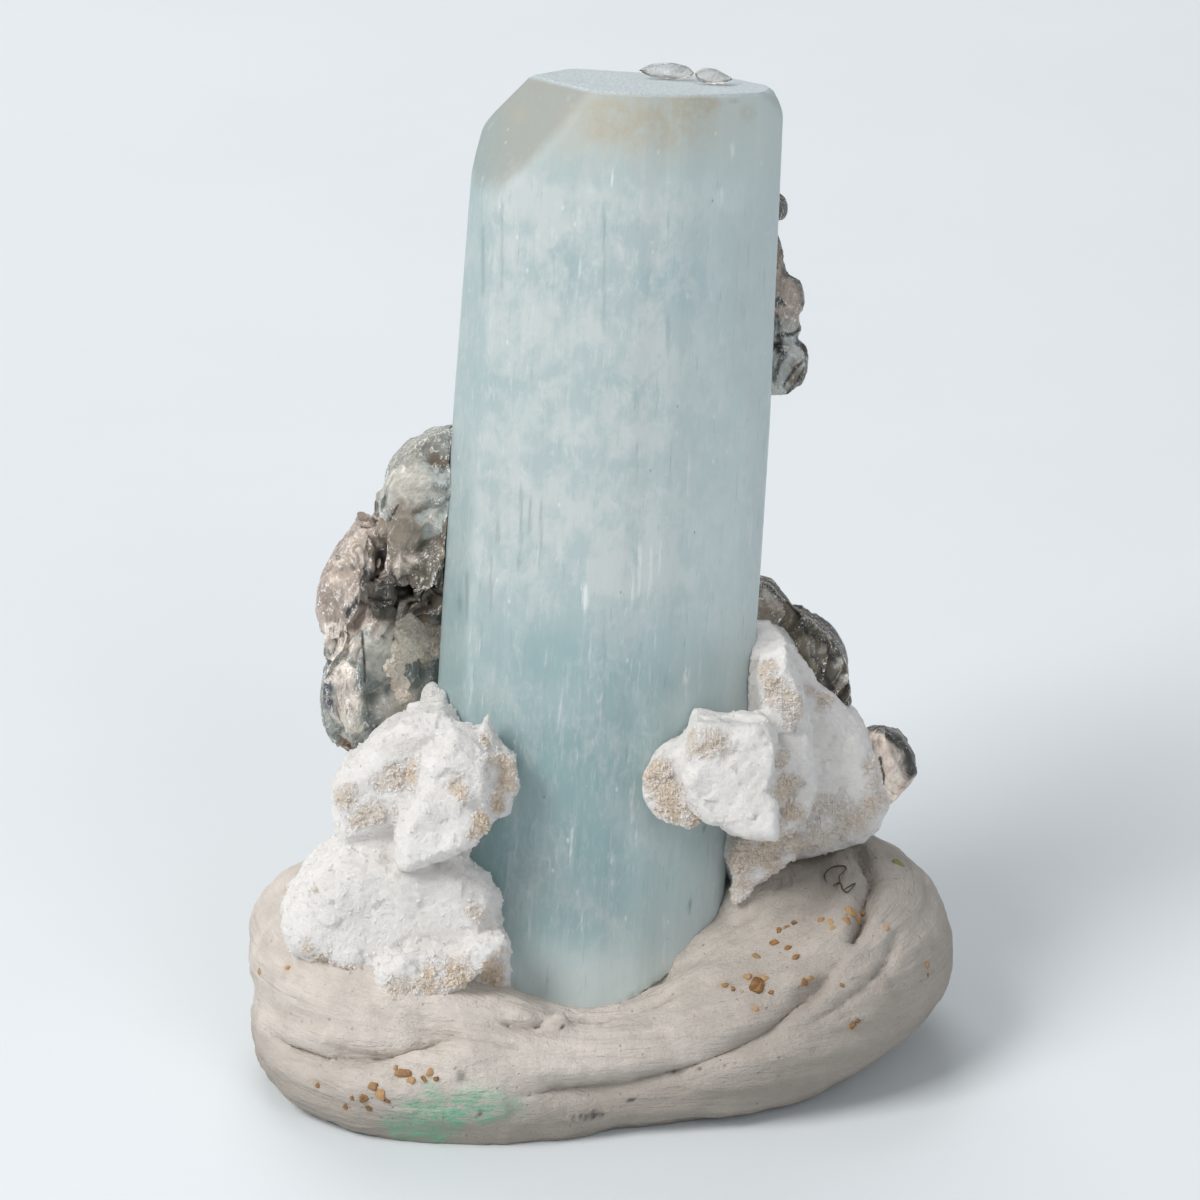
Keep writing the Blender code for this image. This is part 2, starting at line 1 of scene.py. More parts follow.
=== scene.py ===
"""Aquamarine crystal specimen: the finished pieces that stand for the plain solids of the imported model.

A milky blue prism with a frosted top stands in a folded lump of putty, with white albite lumps and books of brown
mica grown on it. Sizes are in millimetres where a name or comment doesn't say otherwise; the specimen is modelled
upright in its own frame, whose +Z is the crystal's axis, and is then leaned back as one.
"""

import math
import random

import bmesh
import bpy
import numpy as np
from mathutils import Euler, Matrix, Vector, noise
from mathutils.bvhtree import BVHTree
from mathutils.kdtree import KDTree


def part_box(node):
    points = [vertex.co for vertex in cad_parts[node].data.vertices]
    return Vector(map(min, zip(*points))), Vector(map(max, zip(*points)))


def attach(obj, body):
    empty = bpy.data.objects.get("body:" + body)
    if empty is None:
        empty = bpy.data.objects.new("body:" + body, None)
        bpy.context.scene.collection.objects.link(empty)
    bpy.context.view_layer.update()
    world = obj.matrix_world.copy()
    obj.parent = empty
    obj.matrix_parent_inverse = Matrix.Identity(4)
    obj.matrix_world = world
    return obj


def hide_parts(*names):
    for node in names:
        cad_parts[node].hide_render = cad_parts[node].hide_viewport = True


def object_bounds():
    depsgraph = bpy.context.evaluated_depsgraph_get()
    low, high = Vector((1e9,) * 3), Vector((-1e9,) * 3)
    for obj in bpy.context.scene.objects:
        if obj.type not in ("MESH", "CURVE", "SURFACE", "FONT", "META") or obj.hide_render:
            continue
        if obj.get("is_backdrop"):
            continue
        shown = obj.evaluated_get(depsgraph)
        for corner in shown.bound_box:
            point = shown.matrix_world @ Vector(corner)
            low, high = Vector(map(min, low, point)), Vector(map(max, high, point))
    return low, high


bl_info = {
    "name": "Aquamarine Specimen",
    "version": (1, 0, 0),
    "blender": (4, 5, 0),
    "location": "3D View > Sidebar > Specimen",
    "description": "Builds an aquamarine crystal with albite and mica, in a lump of putty",
    "category": "Add Mesh",
}

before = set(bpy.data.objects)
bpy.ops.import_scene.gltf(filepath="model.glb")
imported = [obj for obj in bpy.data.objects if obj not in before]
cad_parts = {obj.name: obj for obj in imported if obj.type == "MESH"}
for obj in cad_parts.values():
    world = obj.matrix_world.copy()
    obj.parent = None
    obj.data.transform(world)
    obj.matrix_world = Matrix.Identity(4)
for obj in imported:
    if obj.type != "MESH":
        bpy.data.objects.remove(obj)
cad_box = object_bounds()

MM = 0.001

# The crystal, in its own frame
CRYSTAL_LENGTH = 71.4
CRYSTAL_WIDTH = 24.0
CRYSTAL_DEPTH = 14.0
CRYSTAL_TAPER = 0.955  # width at the top over width at the middle
TAPER_FROM = 0.65  # share of the length where the taper starts
LEAN_BACK = math.radians(15.0)
LEAN_RIGHT = math.radians(3.4)
SPECIMEN_FOOT = Vector((-2.2, -2.9, 2.4)) * MM
LEDGE_TOP, LEDGE_DEPTH = 17.0, 1.1  # low down, the right side stands back
EDGE_BLUR = 0.6  # how far the long edges are rounded
CLEARANCE = 0.06  # between the crystal and the pieces that touch it

# The front view: where it is seen from, and the millimetres that one of its 1200 by 1200 points covers. Places on
# the front of a piece are given as (column, row) in that view.
VIEW_TILT = math.radians(24.0)
VIEW_DISTANCE = 500.0
VIEW_TARGET = Vector((0.0, 5.5, 33.7))
VIEW_POINT = 0.075
VIEW_MIDDLE = 600
VIEW_BACK = (0.0, -math.cos(VIEW_TILT), math.sin(VIEW_TILT))
VIEW_UP = (0.0, math.sin(VIEW_TILT), math.cos(VIEW_TILT))
LENS, SENSOR = 200.0, 36.0

# Cross-section of the prism as shares of half its width and depth, anticlockwise from the left ridge.
SECTION = [
    (-0.97, -0.03), (-0.78, -0.66), (-0.46, -0.87), (-0.08, -1.00), (0.12, -1.00), (0.40, -0.85), (0.66, -0.57),
    (0.87, -0.27), (1.03, 0.03), (0.98, 0.32), (0.70, 0.97), (-0.63, 1.00), (-0.93, 0.29),
]
TOP_PLANE = ((0.0, 0.2, 71.4), (0.0, -0.04, 1.0))
FOOT_PLANE = ((0.0, -2.5, 0.0), (0.0, 0.42, -0.91))
CORNER_PLANES = [  # the plane, and how far its edges are rounded
    (((-2.7, -6.4, 71.5), (-0.742, -0.477, 0.472)), 0.9),  # broad corner facet, front left
    (((-7.2, 0.6, 71.5), (-0.66, 0.32, 0.68)), 0.7),  # back left
    (((10.5, -1.0, 71.3), (0.72, -0.10, 0.66)), 0.9),  # small right corner
    (((11.2, 0.0, 7.6), (0.60, -0.10, -0.80)), 0.5),  # foot, right
    (((-11.0, 0.0, 8.5), (-0.62, 0.0, -0.78)), 1.0),  # foot, left
]

# Blocks of albite: an outline in the specimen's front plane (x, z), a front and a back (y) and a bevelled border.
ALBITE_LEFT_BLOCKS = [
    ([(-11.0, 24.8), (-13.3, 24.2), (-15.8, 22.4), (-17.9, 20.0), (-18.9, 17.6), (-17.9, 14.2), (-13.6, 15.2),
      (-8.6, 15.8), (-8.2, 19.5), (-9.4, 23.0)], -9.6, -1.5, 1.4),
    ([(-8.6, 23.4), (-10.3, 24.0), (-12.6, 21.4), (-12.6, 17.2), (-9.6, 15.6), (-7.4, 16.6), (-6.6, 19.4),
      (-7.0, 22.2)], -11.4, -4.5, 1.3),
    ([(-13.7, 16.6), (-13.6, 13.0), (-11.2, 13.7), (-8.3, 15.3), (-6.9, 17.2), (-8.4, 19.6), (-12.0, 19.2)],
     -12.3, -6.0, 0.9),
    ([(-8.8, 23.4), (-7.9, 23.6), (-7.3, 22.8), (-6.4, 22.1), (-5.4, 21.7), (-5.2, 19.2), (-5.9, 17.4), (-6.9, 16.0),
      (-7.9, 15.5), (-9.0, 16.4)], -9.3, -6.0, 0.5),
    ([(-8.1, 22.8), (-7.9, 24.2), (-7.6, 25.1), (-7.3, 24.0), (-6.9, 22.2)], -8.9, -6.6, 0.2),
    ([(-12.4, 20.0), (-12.5, 24.4), (-11.9, 25.4), (-10.8, 25.0), (-10.8, 20.0)], -3.2, 1.8, 0.5),
    ([(-17.8, 14.1), (-19.7, 12.2), (-21.6, 9.8), (-21.9, 7.9), (-21.1, 6.2), (-17.1, 4.6), (-13.6, 3.4),
      (-9.2, 4.0), (-5.9, 6.0), (-6.0, 10.6), (-7.0, 12.4), (-8.8, 13.5), (-13.4, 13.6)], -10.6, 2.0, 1.6),
    ([(-14.8, 5.6), (-12.4, 7.0), (-9.6, 7.3), (-9.0, 6.8), (-7.4, 8.4), (-5.5, 8.9), (-5.2, 7.7), (-7.4, 5.6),
      (-10.4, 3.4), (-14.2, 3.0)], -12.4, -7.0, 0.7),
    ([(-17.4, 14.6), (-18.6, 12.4), (-13.6, 10.6), (-9.2, 12.2), (-8.2, 14.2), (-12.4, 15.6)], -9.0, 1.0, 1.0),
    ([(-8.4, 8.6), (-8.8, 3.6), (-6.6, 3.2), (-4.9, 4.2), (-5.1, 7.4), (-6.2, 8.4)], -9.2, -5.0, 0.4),
]
ALBITE_RIGHT_BLOCKS = [
    # two upright ridges in front of the broad mass
    ([(12.4, 29.4), (14.2, 30.4), (15.8, 27.2), (16.1, 24.9), (15.0, 23.2), (13.0, 23.6)], -5.0, 3.0, 1.0),
    ([(14.2, 24.3), (16.5, 23.9), (17.2, 20.4), (16.7, 17.4), (15.0, 17.2), (14.0, 20.8)], -5.0, 3.0, 0.9),
    ([(7.8, 25.6), (10.2, 25.3), (12.7, 25.7), (13.8, 24.6), (13.5, 21.6), (14.4, 16.9), (11.4, 17.3), (8.8, 18.1),
      (7.5, 19.6), (7.0, 22.4)], -11.4, -4.0, 0.5),
    ([(11.0, 23.0), (14.6, 23.0), (14.6, 18.6), (11.0, 18.6)], -6.0, 2.0, 0.5),
    ([(7.6, 24.2), (6.3, 23.2), (5.0, 22.2), (4.2, 20.5), (4.7, 18.7), (5.8, 17.6), (7.9, 17.4), (9.4, 18.6),
      (9.4, 23.6)], -9.6, -5.0, 0.5),
    ([(12.9, 29.0), (14.6, 27.8), (16.2, 25.8), (17.0, 22.6), (17.0, 18.8), (16.2, 16.8), (14.4, 15.4),
      (12.9, 16.0)], -3.6, 5.0, 0.9),
    ([(11.0, 31.2), (13.4, 30.6), (15.4, 29.0), (17.0, 26.8), (19.0, 25.2), (20.8, 23.4), (21.7, 21.2), (23.0, 18.0),
      (22.4, 16.0), (20.8, 14.8), (16.7, 13.5), (14.0, 12.6), (12.0, 12.0), (8.0, 12.0), (8.0, 28.0)], -0.6, 9.6, 1.6),
    ([(12.0, 17.5), (16.6, 15.0), (14.9, 13.2), (12.6, 11.0), (11.6, 10.0), (11.4, 14.0)], -2.6, 5.0, 0.4),
    ([(-7.0, 5.8), (-9.4, 9.5), (-9.0, 15.5), (-5.6, 20.6), (-0.5, 23.0), (4.0, 27.4), (9.5, 29.6), (14.8, 26.0),
      (16.0, 18.0), (14.2, 11.0), (7.6, 6.4), (0.0, 4.8)], 4.6, 12.6, 1.9),
    ([(-6.2, 7.0), (-7.0, 12.6), (-2.2, 16.6), (4.6, 14.8), (5.6, 8.6), (0.0, 5.6)], 8.0, 14.4, 1.4),
]

# Clusters of mica: the outline that the cluster keeps to, its front and back, and its books. Each book has a centre,
# the outward normal of its sheets, its reach, its thickness and the tint of its sheets.
MICA_CLUSTERS = {
    "mica_left_cluster": (
        [(-8.0, 45.6), (-11.8, 44.6), (-13.2, 44.1), (-14.9, 43.1), (-16.2, 41.6), (-16.9, 39.8), (-17.9, 37.8),
         (-19.6, 35.0), (-21.0, 32.2), (-21.1, 30.0), (-20.2, 27.2), (-20.4, 24.0), (-20.0, 21.4), (-18.9, 19.5),
         (-17.4, 19.0), (-14.0, 20.4), (-8.0, 20.0), (-4.0, 26.0), (-4.0, 38.0)],
        -3.4, 11.4,
        [
            ((-12.6, 2.4, 42.2), (0.15, -0.90, 0.40), 4.6, 5.0, "grey"),
            ((-14.0, 0.8, 39.4), (0.10, -0.98, 0.05), 3.4, 4.0, "pale"),
            ((-13.6, 1.0, 36.6), (0.15, -0.95, -0.05), 3.6, 4.2, "brown"),
            ((-14.2, 2.6, 34.0), (-0.45, -0.88, 0.05), 4.0, 5.0, "brown"),
            ((-13.2, 0.2, 34.6), (0.25, -0.90, 0.30), 1.5, 1.4, "rose"),
            ((-18.0, 3.2, 32.2), (-0.86, -0.46, 0.20), 5.6, 5.0, "rose"),
            ((-18.2, 1.4, 34.8), (-0.35, -0.85, 0.35), 2.5, 2.6, "rose"),
            ((-19.4, 1.6, 31.0), (-0.70, -0.70, -0.05), 2.4, 2.8, "rose"),
            ((-13.0, 4.6, 30.8), (0.10, -0.96, -0.20), 5.4, 4.4, "dark"),
            ((-16.4, 3.2, 24.2), (0.64, -0.76, 0.08), 6.8, 7.6, "teal"),
            ((-13.6, 7.6, 29.0), (-0.40, 0.90, 0.15), 9.0, 5.2, "brown"),
            ((-11.0, 8.0, 38.4), (-0.50, 0.82, 0.25), 7.0, 4.6, "grey"),
        ],
    ),
    "mica_upper_right_cluster": (
        [(4.0, 62.0), (8.0, 64.2), (11.6, 64.0), (12.2, 63.6), (12.7, 62.5), (12.7, 61.5), (12.1, 61.1), (11.3, 60.9),
         (11.3, 60.6), (12.1, 60.2), (12.6, 59.3), (13.0, 58.2), (13.2, 57.6), (13.9, 57.1), (14.3, 56.2),
         (14.5, 55.3), (14.3, 54.4), (13.6, 53.9), (14.3, 53.4), (14.2, 52.9), (13.4, 52.6), (14.6, 52.3),
         (15.2, 51.2), (15.1, 49.8), (14.6, 48.5), (13.6, 48.0), (12.4, 47.9), (8.0, 47.0), (4.0, 51.0)],
        1.4, 10.6,
        [
            ((12.8, 4.6, 50.3), (0.62, -0.75, 0.20), 2.7, 3.0, "pale"),
            ((12.9, 4.8, 53.3), (0.50, -0.85, 0.10), 1.5, 2.0, "pale"),
            ((12.5, 4.8, 55.6), (0.72, -0.62, 0.30), 2.3, 3.0, "rose"),
            ((11.9, 5.2, 58.8), (0.85, -0.50, 0.10), 1.9, 1.8, "brown"),
            ((11.8, 5.6, 62.3), (0.90, -0.40, 0.05), 1.5, 1.4, "dark"),
            ((8.8, 7.4, 50.2), (0.35, 0.92, 0.10), 3.2, 3.4, "brown"),
            ((8.8, 7.6, 54.6), (0.30, 0.92, -0.10), 3.2, 3.4, "grey"),
            ((8.4, 7.6, 58.8), (0.35, 0.92, 0.10), 3.0, 3.2, "brown"),
            ((8.0, 7.8, 62.0), (0.20, 0.97, 0.15), 2.6, 2.8, "grey"),
        ],
    ),
    "mica_lower_right_cluster": (
        [(6.0, 34.0), (12.4, 33.6), (13.4, 33.4), (14.2, 32.5), (14.2, 31.5), (15.0, 31.4), (16.0, 31.2), (17.3, 30.5),
         (18.6, 29.5), (19.4, 28.3), (19.8, 26.8), (19.9, 25.2), (20.4, 23.8), (20.2, 22.9), (19.0, 22.6),
         (12.0, 24.0), (6.0, 26.0)],
        3.4, 12.8,
        [
            ((12.2, 6.4, 32.0), (0.30, -0.80, 0.50), 3.0, 3.0, "brown"),
            ((16.0, 8.6, 27.4), (-0.45, -0.80, 0.35), 6.0, 6.4, "dark"),
            ((11.8, 9.8, 30.0), (0.10, 0.90, 0.40), 6.0, 4.2, "brown"),
        ],
    ),
    "mica_right_tip": (
        [(20.8, 22.7), (21.6, 23.2), (22.6, 23.1), (23.7, 22.6), (24.6, 21.8), (25.3, 20.8), (25.4, 19.7), (24.8, 18.6),
         (23.8, 17.4), (22.9, 16.7), (21.4, 17.0), (20.4, 19.0)],
        3.2, 9.2,
        [((22.4, 6.2, 20.2), (0.72, -0.52, 0.45), 3.8, 5.0, "cream")],
    ),
    "mica_top_flake_large": (
        [(0.6, 72.1), (1.8, 72.65), (3.2, 72.8), (4.5, 72.6), (5.1, 72.1), (4.4, 71.7), (2.9, 71.5), (1.5, 71.7)],
        2.5, 3.3,
        [((2.9, 2.9, 72.1), (0.05, -0.93, 0.36), 3.0, 0.7, "beige")],
    ),
    "mica_top_flake_small": (
        [(4.9, 72.2), (5.6, 72.65), (6.5, 72.6), (7.9, 71.95), (7.2, 71.6), (6.2, 71.45), (5.2, 71.7)],
        1.0, 2.2,
        [((6.4, 1.6, 72.0), (0.10, -0.93, 0.36), 2.2, 0.8, "beige")],
    ),
}

# The putty is a thick roll folded once round itself: centre line and radius of each fold.
LOWER_FOLD = [
    (-21.1, 3.6, 4.2, 4.6), (-21.5, -6.2, 3.9, 4.8), (-16.9, -12.6, 3.7, 5.1), (-8.2, -13.9, 3.2, 4.8),
    (2.0, -12.5, 3.4, 4.7), (10.8, -10.9, 4.7, 5.2), (17.4, -6.8, 6.6, 6.1), (20.2, 0.2, 7.4, 6.5),
    (17.6, 7.4, 7.2, 6.3), (10.0, 12.2, 6.0, 6.0), (0.0, 13.4, 5.4, 5.8), (-10.0, 12.0, 5.2, 5.6),
    (-17.0, 8.8, 4.8, 5.2),
]
UPPER_FOLD = [
    (-14.7, 8.6, 7.6, 4.8), (-19.5, 4.4, 8.0, 5.0), (-21.5, -2.0, 8.2, 5.3), (-17.6, -8.8, 6.8, 5.4),
    (-8.5, -11.8, 4.5, 5.2), (0.0, -11.7, 2.6, 5.0), (8.0, -9.9, 4.4, 5.4), (14.2, -4.8, 6.8, 5.6),
    (15.4, 2.4, 8.0, 5.2), (11.0, 7.6, 8.4, 4.8),
]
PUTTY_MIDDLE = ((0.0, 0.5, 3.0), (19.0, 13.5, 5.4))  # centre and reach of the putty inside the folds
PUTTY_STRETCH = 1.45  # width of the ring over its depth
PUTTY_SOLE = ((-0.5, 0.0, 0.6), (22.5, 14.8, 2.4))  # pressed flat under the folds
PUTTY_SHOULDERS = [  # against the foot, and under the start of the upper fold
    ((10.0, -3.2, 6.2), (6.0, 6.0, 4.6)), ((-8.0, -6.5, 4.4), (4.5, 5.0, 4.2)), ((12.0, 0.6, 8.0), (4.6, 5.4, 5.2)),
    ((-14.5, 9.0, 2.4), (7.5, 5.4, 3.6)),
]


# ---------------------------------------------------------------- sizes and colours that a user would change


def length(label, description, millimetres):
    return bpy.props.FloatProperty(
        name=label, description=description, default=millimetres * MM, min=0.0, precision=5, unit="LENGTH"
    )


def colour(label, description, red, green, blue):
    return bpy.props.FloatVectorProperty(
        name=label, description=description, default=(red, green, blue, 1.0), size=4, min=0.0, max=1.0, subtype="COLOR"
    )


def share(label, description, value):
    return bpy.props.FloatProperty(
        name=label, description=description, default=value, min=0.0, max=1.0, subtype="FACTOR"
    )


class CrystalSettings(bpy.types.PropertyGroup):
    strip_width: length("Striation width", "Widest strip between two growth lines", 1.3)
    strip_relief: length("Striation relief", "How far one strip stands out from the next", 0.009)
    edge_radius: length("Worn edge", "Rounding where the top face meets the sides", 0.22)
    milky: colour("Milky", "Colour of the cloudy bands", 0.72, 0.76, 0.755)
    clear: colour("Clear blue", "Colour of the clearer, deeper parts", 0.345, 0.51, 0.525)
    tip: colour("Tip", "Colour near the top end", 0.62, 0.64, 0.585)
    stain: colour("Iron stain", "Colour of the stain under the top face", 0.60, 0.54, 0.42)
    transmission: share("Transmission", "Share of the light that goes through", 0.30)


class AlbiteSettings(bpy.types.PropertyGroup):
    crystal_size: length("Crystal size", "Width of the flat faces on a lump", 2.4)
    grain_size: length("Grain size", "Width of the sugary grains", 0.2)
    white: colour("White", "Colour of the fresh mineral", 0.93, 0.90, 0.875)
    # the grey of the cloudy mottling and the grey patches, and of the painted shade in the hollows
    shade: colour("Grey", "Colour of the translucent hollows", 0.76, 0.735, 0.705)
    tan: colour("Tan", "Colour of the crust", 0.76, 0.62, 0.47)


class MicaSettings(bpy.types.PropertyGroup):
    sheet: length("Sheet", "Distance from one visible sheet to the next", 0.42)
    lustre: share("Lustre", "Strength of the pearly coat", 0.25)


class PuttySettings(bpy.types.PropertyGroup):
    pale: colour("Pale", "Colour of the putty", 0.735, 0.67, 0.61)
    # shade: the colour of the grubby mottling and drawn streaks, and of the painted shade in the hollows, towards the
    # bottom and on the right
    shade: colour("Grubby", "Colour of the handled parts", 0.385, 0.345, 0.305)
    green: colour("Green stain", "Colour of the stain at the front", 0.16, 0.48, 0.30)
    crumb: colour("Crumb", "Colour of the gritty crumbs", 0.36, 0.18, 0.06)


class StageSettings(bpy.types.PropertyGroup):
    floor: colour("Floor", "Colour of the floor", 0.735, 0.775, 0.80)
    key_power: bpy.props.FloatProperty(name="Key light", description="Power of the main light", default=6.0, min=0.0)


SETTINGS = {
    "specimen_crystal": CrystalSettings,
    "specimen_albite": AlbiteSettings,
    "specimen_mica": MicaSettings,
    "specimen_putty": PuttySettings,
    "specimen_stage": StageSettings,
}


# ---------------------------------------------------------------- frames, rays and meshes


def specimen_matrix():
    """From millimetres in the specimen's own frame to metres in the world."""
    lean = Euler((-LEAN_BACK, LEAN_RIGHT, 0.0), "YXZ").to_matrix().to_4x4()
    return Matrix.Translation(SPECIMEN_FOOT) @ lean @ Matrix.Scale(MM, 4)


def place_points(points, matrix):
    """An array of points, each moved by a matrix."""
    array = np.array(matrix)
    return points @ array[:3, :3].T + array[:3, 3]


def view_ray(column, row):
    """Where the front view is seen from, and the direction of one of its points, in metres."""
    start = VIEW_TARGET + Vector(VIEW_BACK) * VIEW_DISTANCE
    aim = VIEW_TARGET + Vector((1.0, 0.0, 0.0)) * (column - VIEW_MIDDLE) * VIEW_POINT
    aim += Vector(VIEW_UP) * (VIEW_MIDDLE - row) * VIEW_POINT
    return start * MM, (aim - start).normalized()


def front_hit(tree, column, row):
    """The point of a surface, and its normal there, that the front view shows at a place."""
    start, heading = view_ray(column, row)
    point, normal, _, _ = tree.ray_cast(start, heading)
    if point is None:
        beside = start + heading * ((VIEW_TARGET * MM - start).dot(heading))
        point, normal, _, _ = tree.find_nearest(beside)
    return point, normal


def seam_mask(points, seams, ragged):
    """A mask of the points that the front view shows near some lines: (places, half width) of each line."""
    offset = points / MM - np.array(VIEW_TARGET)
    nearer = VIEW_DISTANCE / (VIEW_DISTANCE - offset @ np.array(VIEW_BACK)) / VIEW_POINT
    seen = np.stack([VIEW_MIDDLE + offset[:, 0] * nearer, VIEW_MIDDLE - (offset @ np.array(VIEW_UP)) * nearer], axis=1)
    mask = np.zeros(len(points))
    for line, half in seams:
        for start, end in zip(np.array(line, dtype=float), np.array(line[1:], dtype=float)):
            run = end - start
            along = np.clip((seen - start) @ run / (run @ run), 0.0, 1.0)
            distance = np.linalg.norm(seen - start - along[:, None] * run, axis=1)
            mask = np.maximum(mask, np.clip(1.8 * (1.0 - distance / half + ragged), 0.0, 1.0))
    return mask


def new_object(name, data):
    obj = bpy.data.objects.new(name, data)
    bpy.context.scene.collection.objects.link(obj)
    return obj


def mesh_from(name, points, faces):
    mesh = bpy.data.meshes.new(name)
    mesh.from_pydata([tuple(point) for point in points], [], faces)
    mesh.update()
    return mesh


def mesh_from_bmesh(name, bm):
    bmesh.ops.recalc_face_normals(bm, faces=bm.faces)
    mesh = bpy.data.meshes.new(name)
    bm.to_mesh(mesh)
    bm.free()
    return mesh


def object_from_bmesh(name, bm, matrix):
    mesh = mesh_from_bmesh(name, bm)
    mesh.transform(matrix)
    return new_object(name, mesh)


def apply_modifiers(obj):
    """Replaces an object's mesh by the one that its modifiers make."""
    bpy.context.view_layer.update()
    mesh = bpy.data.meshes.new_from_object(obj.evaluated_get(bpy.context.evaluated_depsgraph_get()))
    obj.modifiers.clear()
    obj.data = mesh


def voxel_remesh(obj, voxel):
    """Joins the overlapping shells of an object into one skin."""
    remesh = obj.modifiers.new("one_skin", "REMESH")
    remesh.mode = "VOXEL"
    remesh.voxel_size = voxel * MM
    apply_modifiers(obj)


def values_of(data, name, width, kind=np.float32):
    """The values of mesh data, such as the places of vertices, in one row for each of its items."""
    flat = np.empty(len(data) * width, dtype=kind)
    data.foreach_get(name, flat)
    return flat.reshape(-1, width)


def points_of(mesh):
    return values_of(mesh.vertices, "co", 3).astype(np.float64)


def normals_of(mesh):
    return values_of(mesh.vertex_normals, "vector", 3).astype(np.float64)


def move_points(mesh, points):
    mesh.vertices.foreach_set("co", points.astype(np.float32).ravel())
    mesh.update()


def raise_points(mesh, rise):
    """Moves each point along its normal by its own distance, in metres."""
    move_points(mesh, points_of(mesh) + normals_of(mesh) * rise[:, None])


def smoothed(mesh, points, rounds):
    """The points, each drawn towards the middle of its neighbours several times."""
    one, two = values_of(mesh.edges, "vertices", 2, np.int32).T
    count = np.bincount(one, minlength=len(points)) + np.bincount(two, minlength=len(points))
    for _ in range(rounds):
        total = np.stack([
            np.bincount(one, points[two, axis], len(points)) + np.bincount(two, points[one, axis], len(points))
            for axis in range(3)
        ], axis=1)
        points = 0.4 * points + 0.6 * total / np.maximum(count, 1)[:, None]
    return points


def rough_values(points, wavelength, seed, octaves=3):
    """Fractal noise at each point; the wavelength is in millimetres."""
    shifted = points / (wavelength * MM) + np.array([seed * 3.1, seed * 1.7, seed * 2.3])
    return np.array([noise.fractal(point, 1.0, 2.0, octaves) for point in shifted.tolist()])


def roughen(mesh, height, wavelength, seed, octaves=3, puffy=False):
    """Moves each point along its normal by fractal noise, which is folded into rounded nodules where puffy is set."""
    values = rough_values(points_of(mesh), wavelength, seed, octaves)
    raise_points(mesh, (np.abs(values) - 0.25 if puffy else values) * height * MM)


def nearest_finder(points):
    """A tree that finds the nearest of some points, and the place of that one in their order."""
    tree = KDTree(len(points))
    for index, point in enumerate(points):
        tree.insert(point, index)
    tree.balance()
    return tree


def cut_faces(mesh, size, strength, tilt, seed):
    """Flattens patches of a skin onto tilted planes, so that it looks built of blocky crystals."""
    dice = np.random.default_rng(seed)
    points = points_of(mesh)
    normals = normals_of(mesh)
    area = sum(face.area for face in mesh.polygons)
    seeds = dice.choice(len(points), min(len(points), int(area / (size * MM) ** 2)), replace=False)
    tree = nearest_finder(points[seeds])
    nearest = np.array([tree.find(point)[1] for point in points.tolist()])
    planes = normals[seeds] + dice.normal(0.0, tilt, (len(seeds), 3))
    planes /= np.linalg.norm(planes, axis=1)[:, None]
    facing = np.maximum(0.0, np.einsum("ij,ij->i", normals, planes[nearest]))
    above = np.einsum("ij,ij->i", points - points[seeds[nearest]], planes[nearest])
    reach = size * MM * 0.35
    above = np.clip(above, -reach, reach) * strength * facing
    move_points(mesh, points - planes[nearest] * above[:, None])


def hollows(mesh, rounds, depth):
    """How deep each point lies among its neighbours: 0 on open faces and ridges, 1 in a hollow."""
    points = points_of(mesh)
    low = np.einsum("ij,ij->i", smoothed(mesh, points, rounds) - points, normals_of(mesh))
    return np.clip(low / (depth * MM), 0.0, 1.0)


def store(mesh, **masks):
    """Gives a mesh a number at each of its points, under the name of each mask, for its material to read."""
    for name, values in masks.items():
        attribute = mesh.attributes.new(name, "FLOAT", "POINT")
        attribute.data.foreach_set("value", np.asarray(values, dtype=np.float32))


def store_vectors(mesh, name, vectors):
    attribute = mesh.attributes.new(name, "FLOAT_VECTOR", "POINT")
    attribute.data.foreach_set("vector", np.asarray(vectors, dtype=np.float32).ravel())


def store_colour(mesh, name, colours):
    attribute = mesh.attributes.new(name, "FLOAT_COLOR", "POINT")
    rgba = np.concatenate([colours, np.ones((len(colours), 1))], axis=1)
    attribute.data.foreach_set("color", rgba.astype(np.float32).ravel())


def tree_of(obj):
    return BVHTree.FromObject(obj, bpy.context.evaluated_depsgraph_get())


def spots(points, tree, places, ragged):
    """A mask with a soft, ragged spot at each place of the front view: (column, row, reach, strength)."""
    mask = np.zeros(len(points))
    for column, row, reach, strength in places:
        centre = np.array(front_hit(tree, column, row)[0])
        distance = np.linalg.norm(points - centre, axis=1) / (reach * VIEW_POINT * MM)
        mask = np.maximum(mask, strength * np.clip(1.7 * (1.0 - distance + ragged), 0.0, 1.0))
    return mask


def cut_clear(obj, *cutters):
    """Cuts an object clear of its neighbours, and drops the chips that this frees."""
    for cutter in cutters:
        boolean = obj.modifiers.new("clear", "BOOLEAN")
        boolean.operation = "DIFFERENCE"
        boolean.object = cutter
    apply_modifiers(obj)
    bm = bmesh.new()
    bm.from_mesh(obj.data)
    bmesh.ops.triangulate(bm, faces=[face for face in bm.faces if len(face.verts) > 4])
    bmesh.ops.dissolve_degenerate(bm, dist=1e-6, edges=bm.edges)
    unseen = set(bm.verts)
    shells = []
    while unseen:
        shell, front = set(), [unseen.pop()]
        while front:
            vert = front.pop()
            shell.add(vert)
            for edge in vert.link_edges:
                other = edge.other_vert(vert)
                if other in unseen:
                    unseen.discard(other)
                    front.append(other)
        shells.append(shell)
    shells.sort(key=len, reverse=True)
    bmesh.ops.delete(bm, geom=[vert for shell in shells[1:] for vert in shell], context="VERTS")
    bm.to_mesh(obj.data)
    bm.free()


def finish_piece(obj, node, material, sharp=None):
    """Gives a piece its material and its place on the body, and hides the solid that it stands for."""
    obj.data.materials.clear()
    obj.data.materials.append(material)
    obj.data.shade_smooth()
    if sharp:
        obj.data.set_sharp_from_angle(angle=math.radians(sharp))
    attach(obj, "root")
    if node:
        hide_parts(node)


# ---------------------------------------------------------------- building node trees


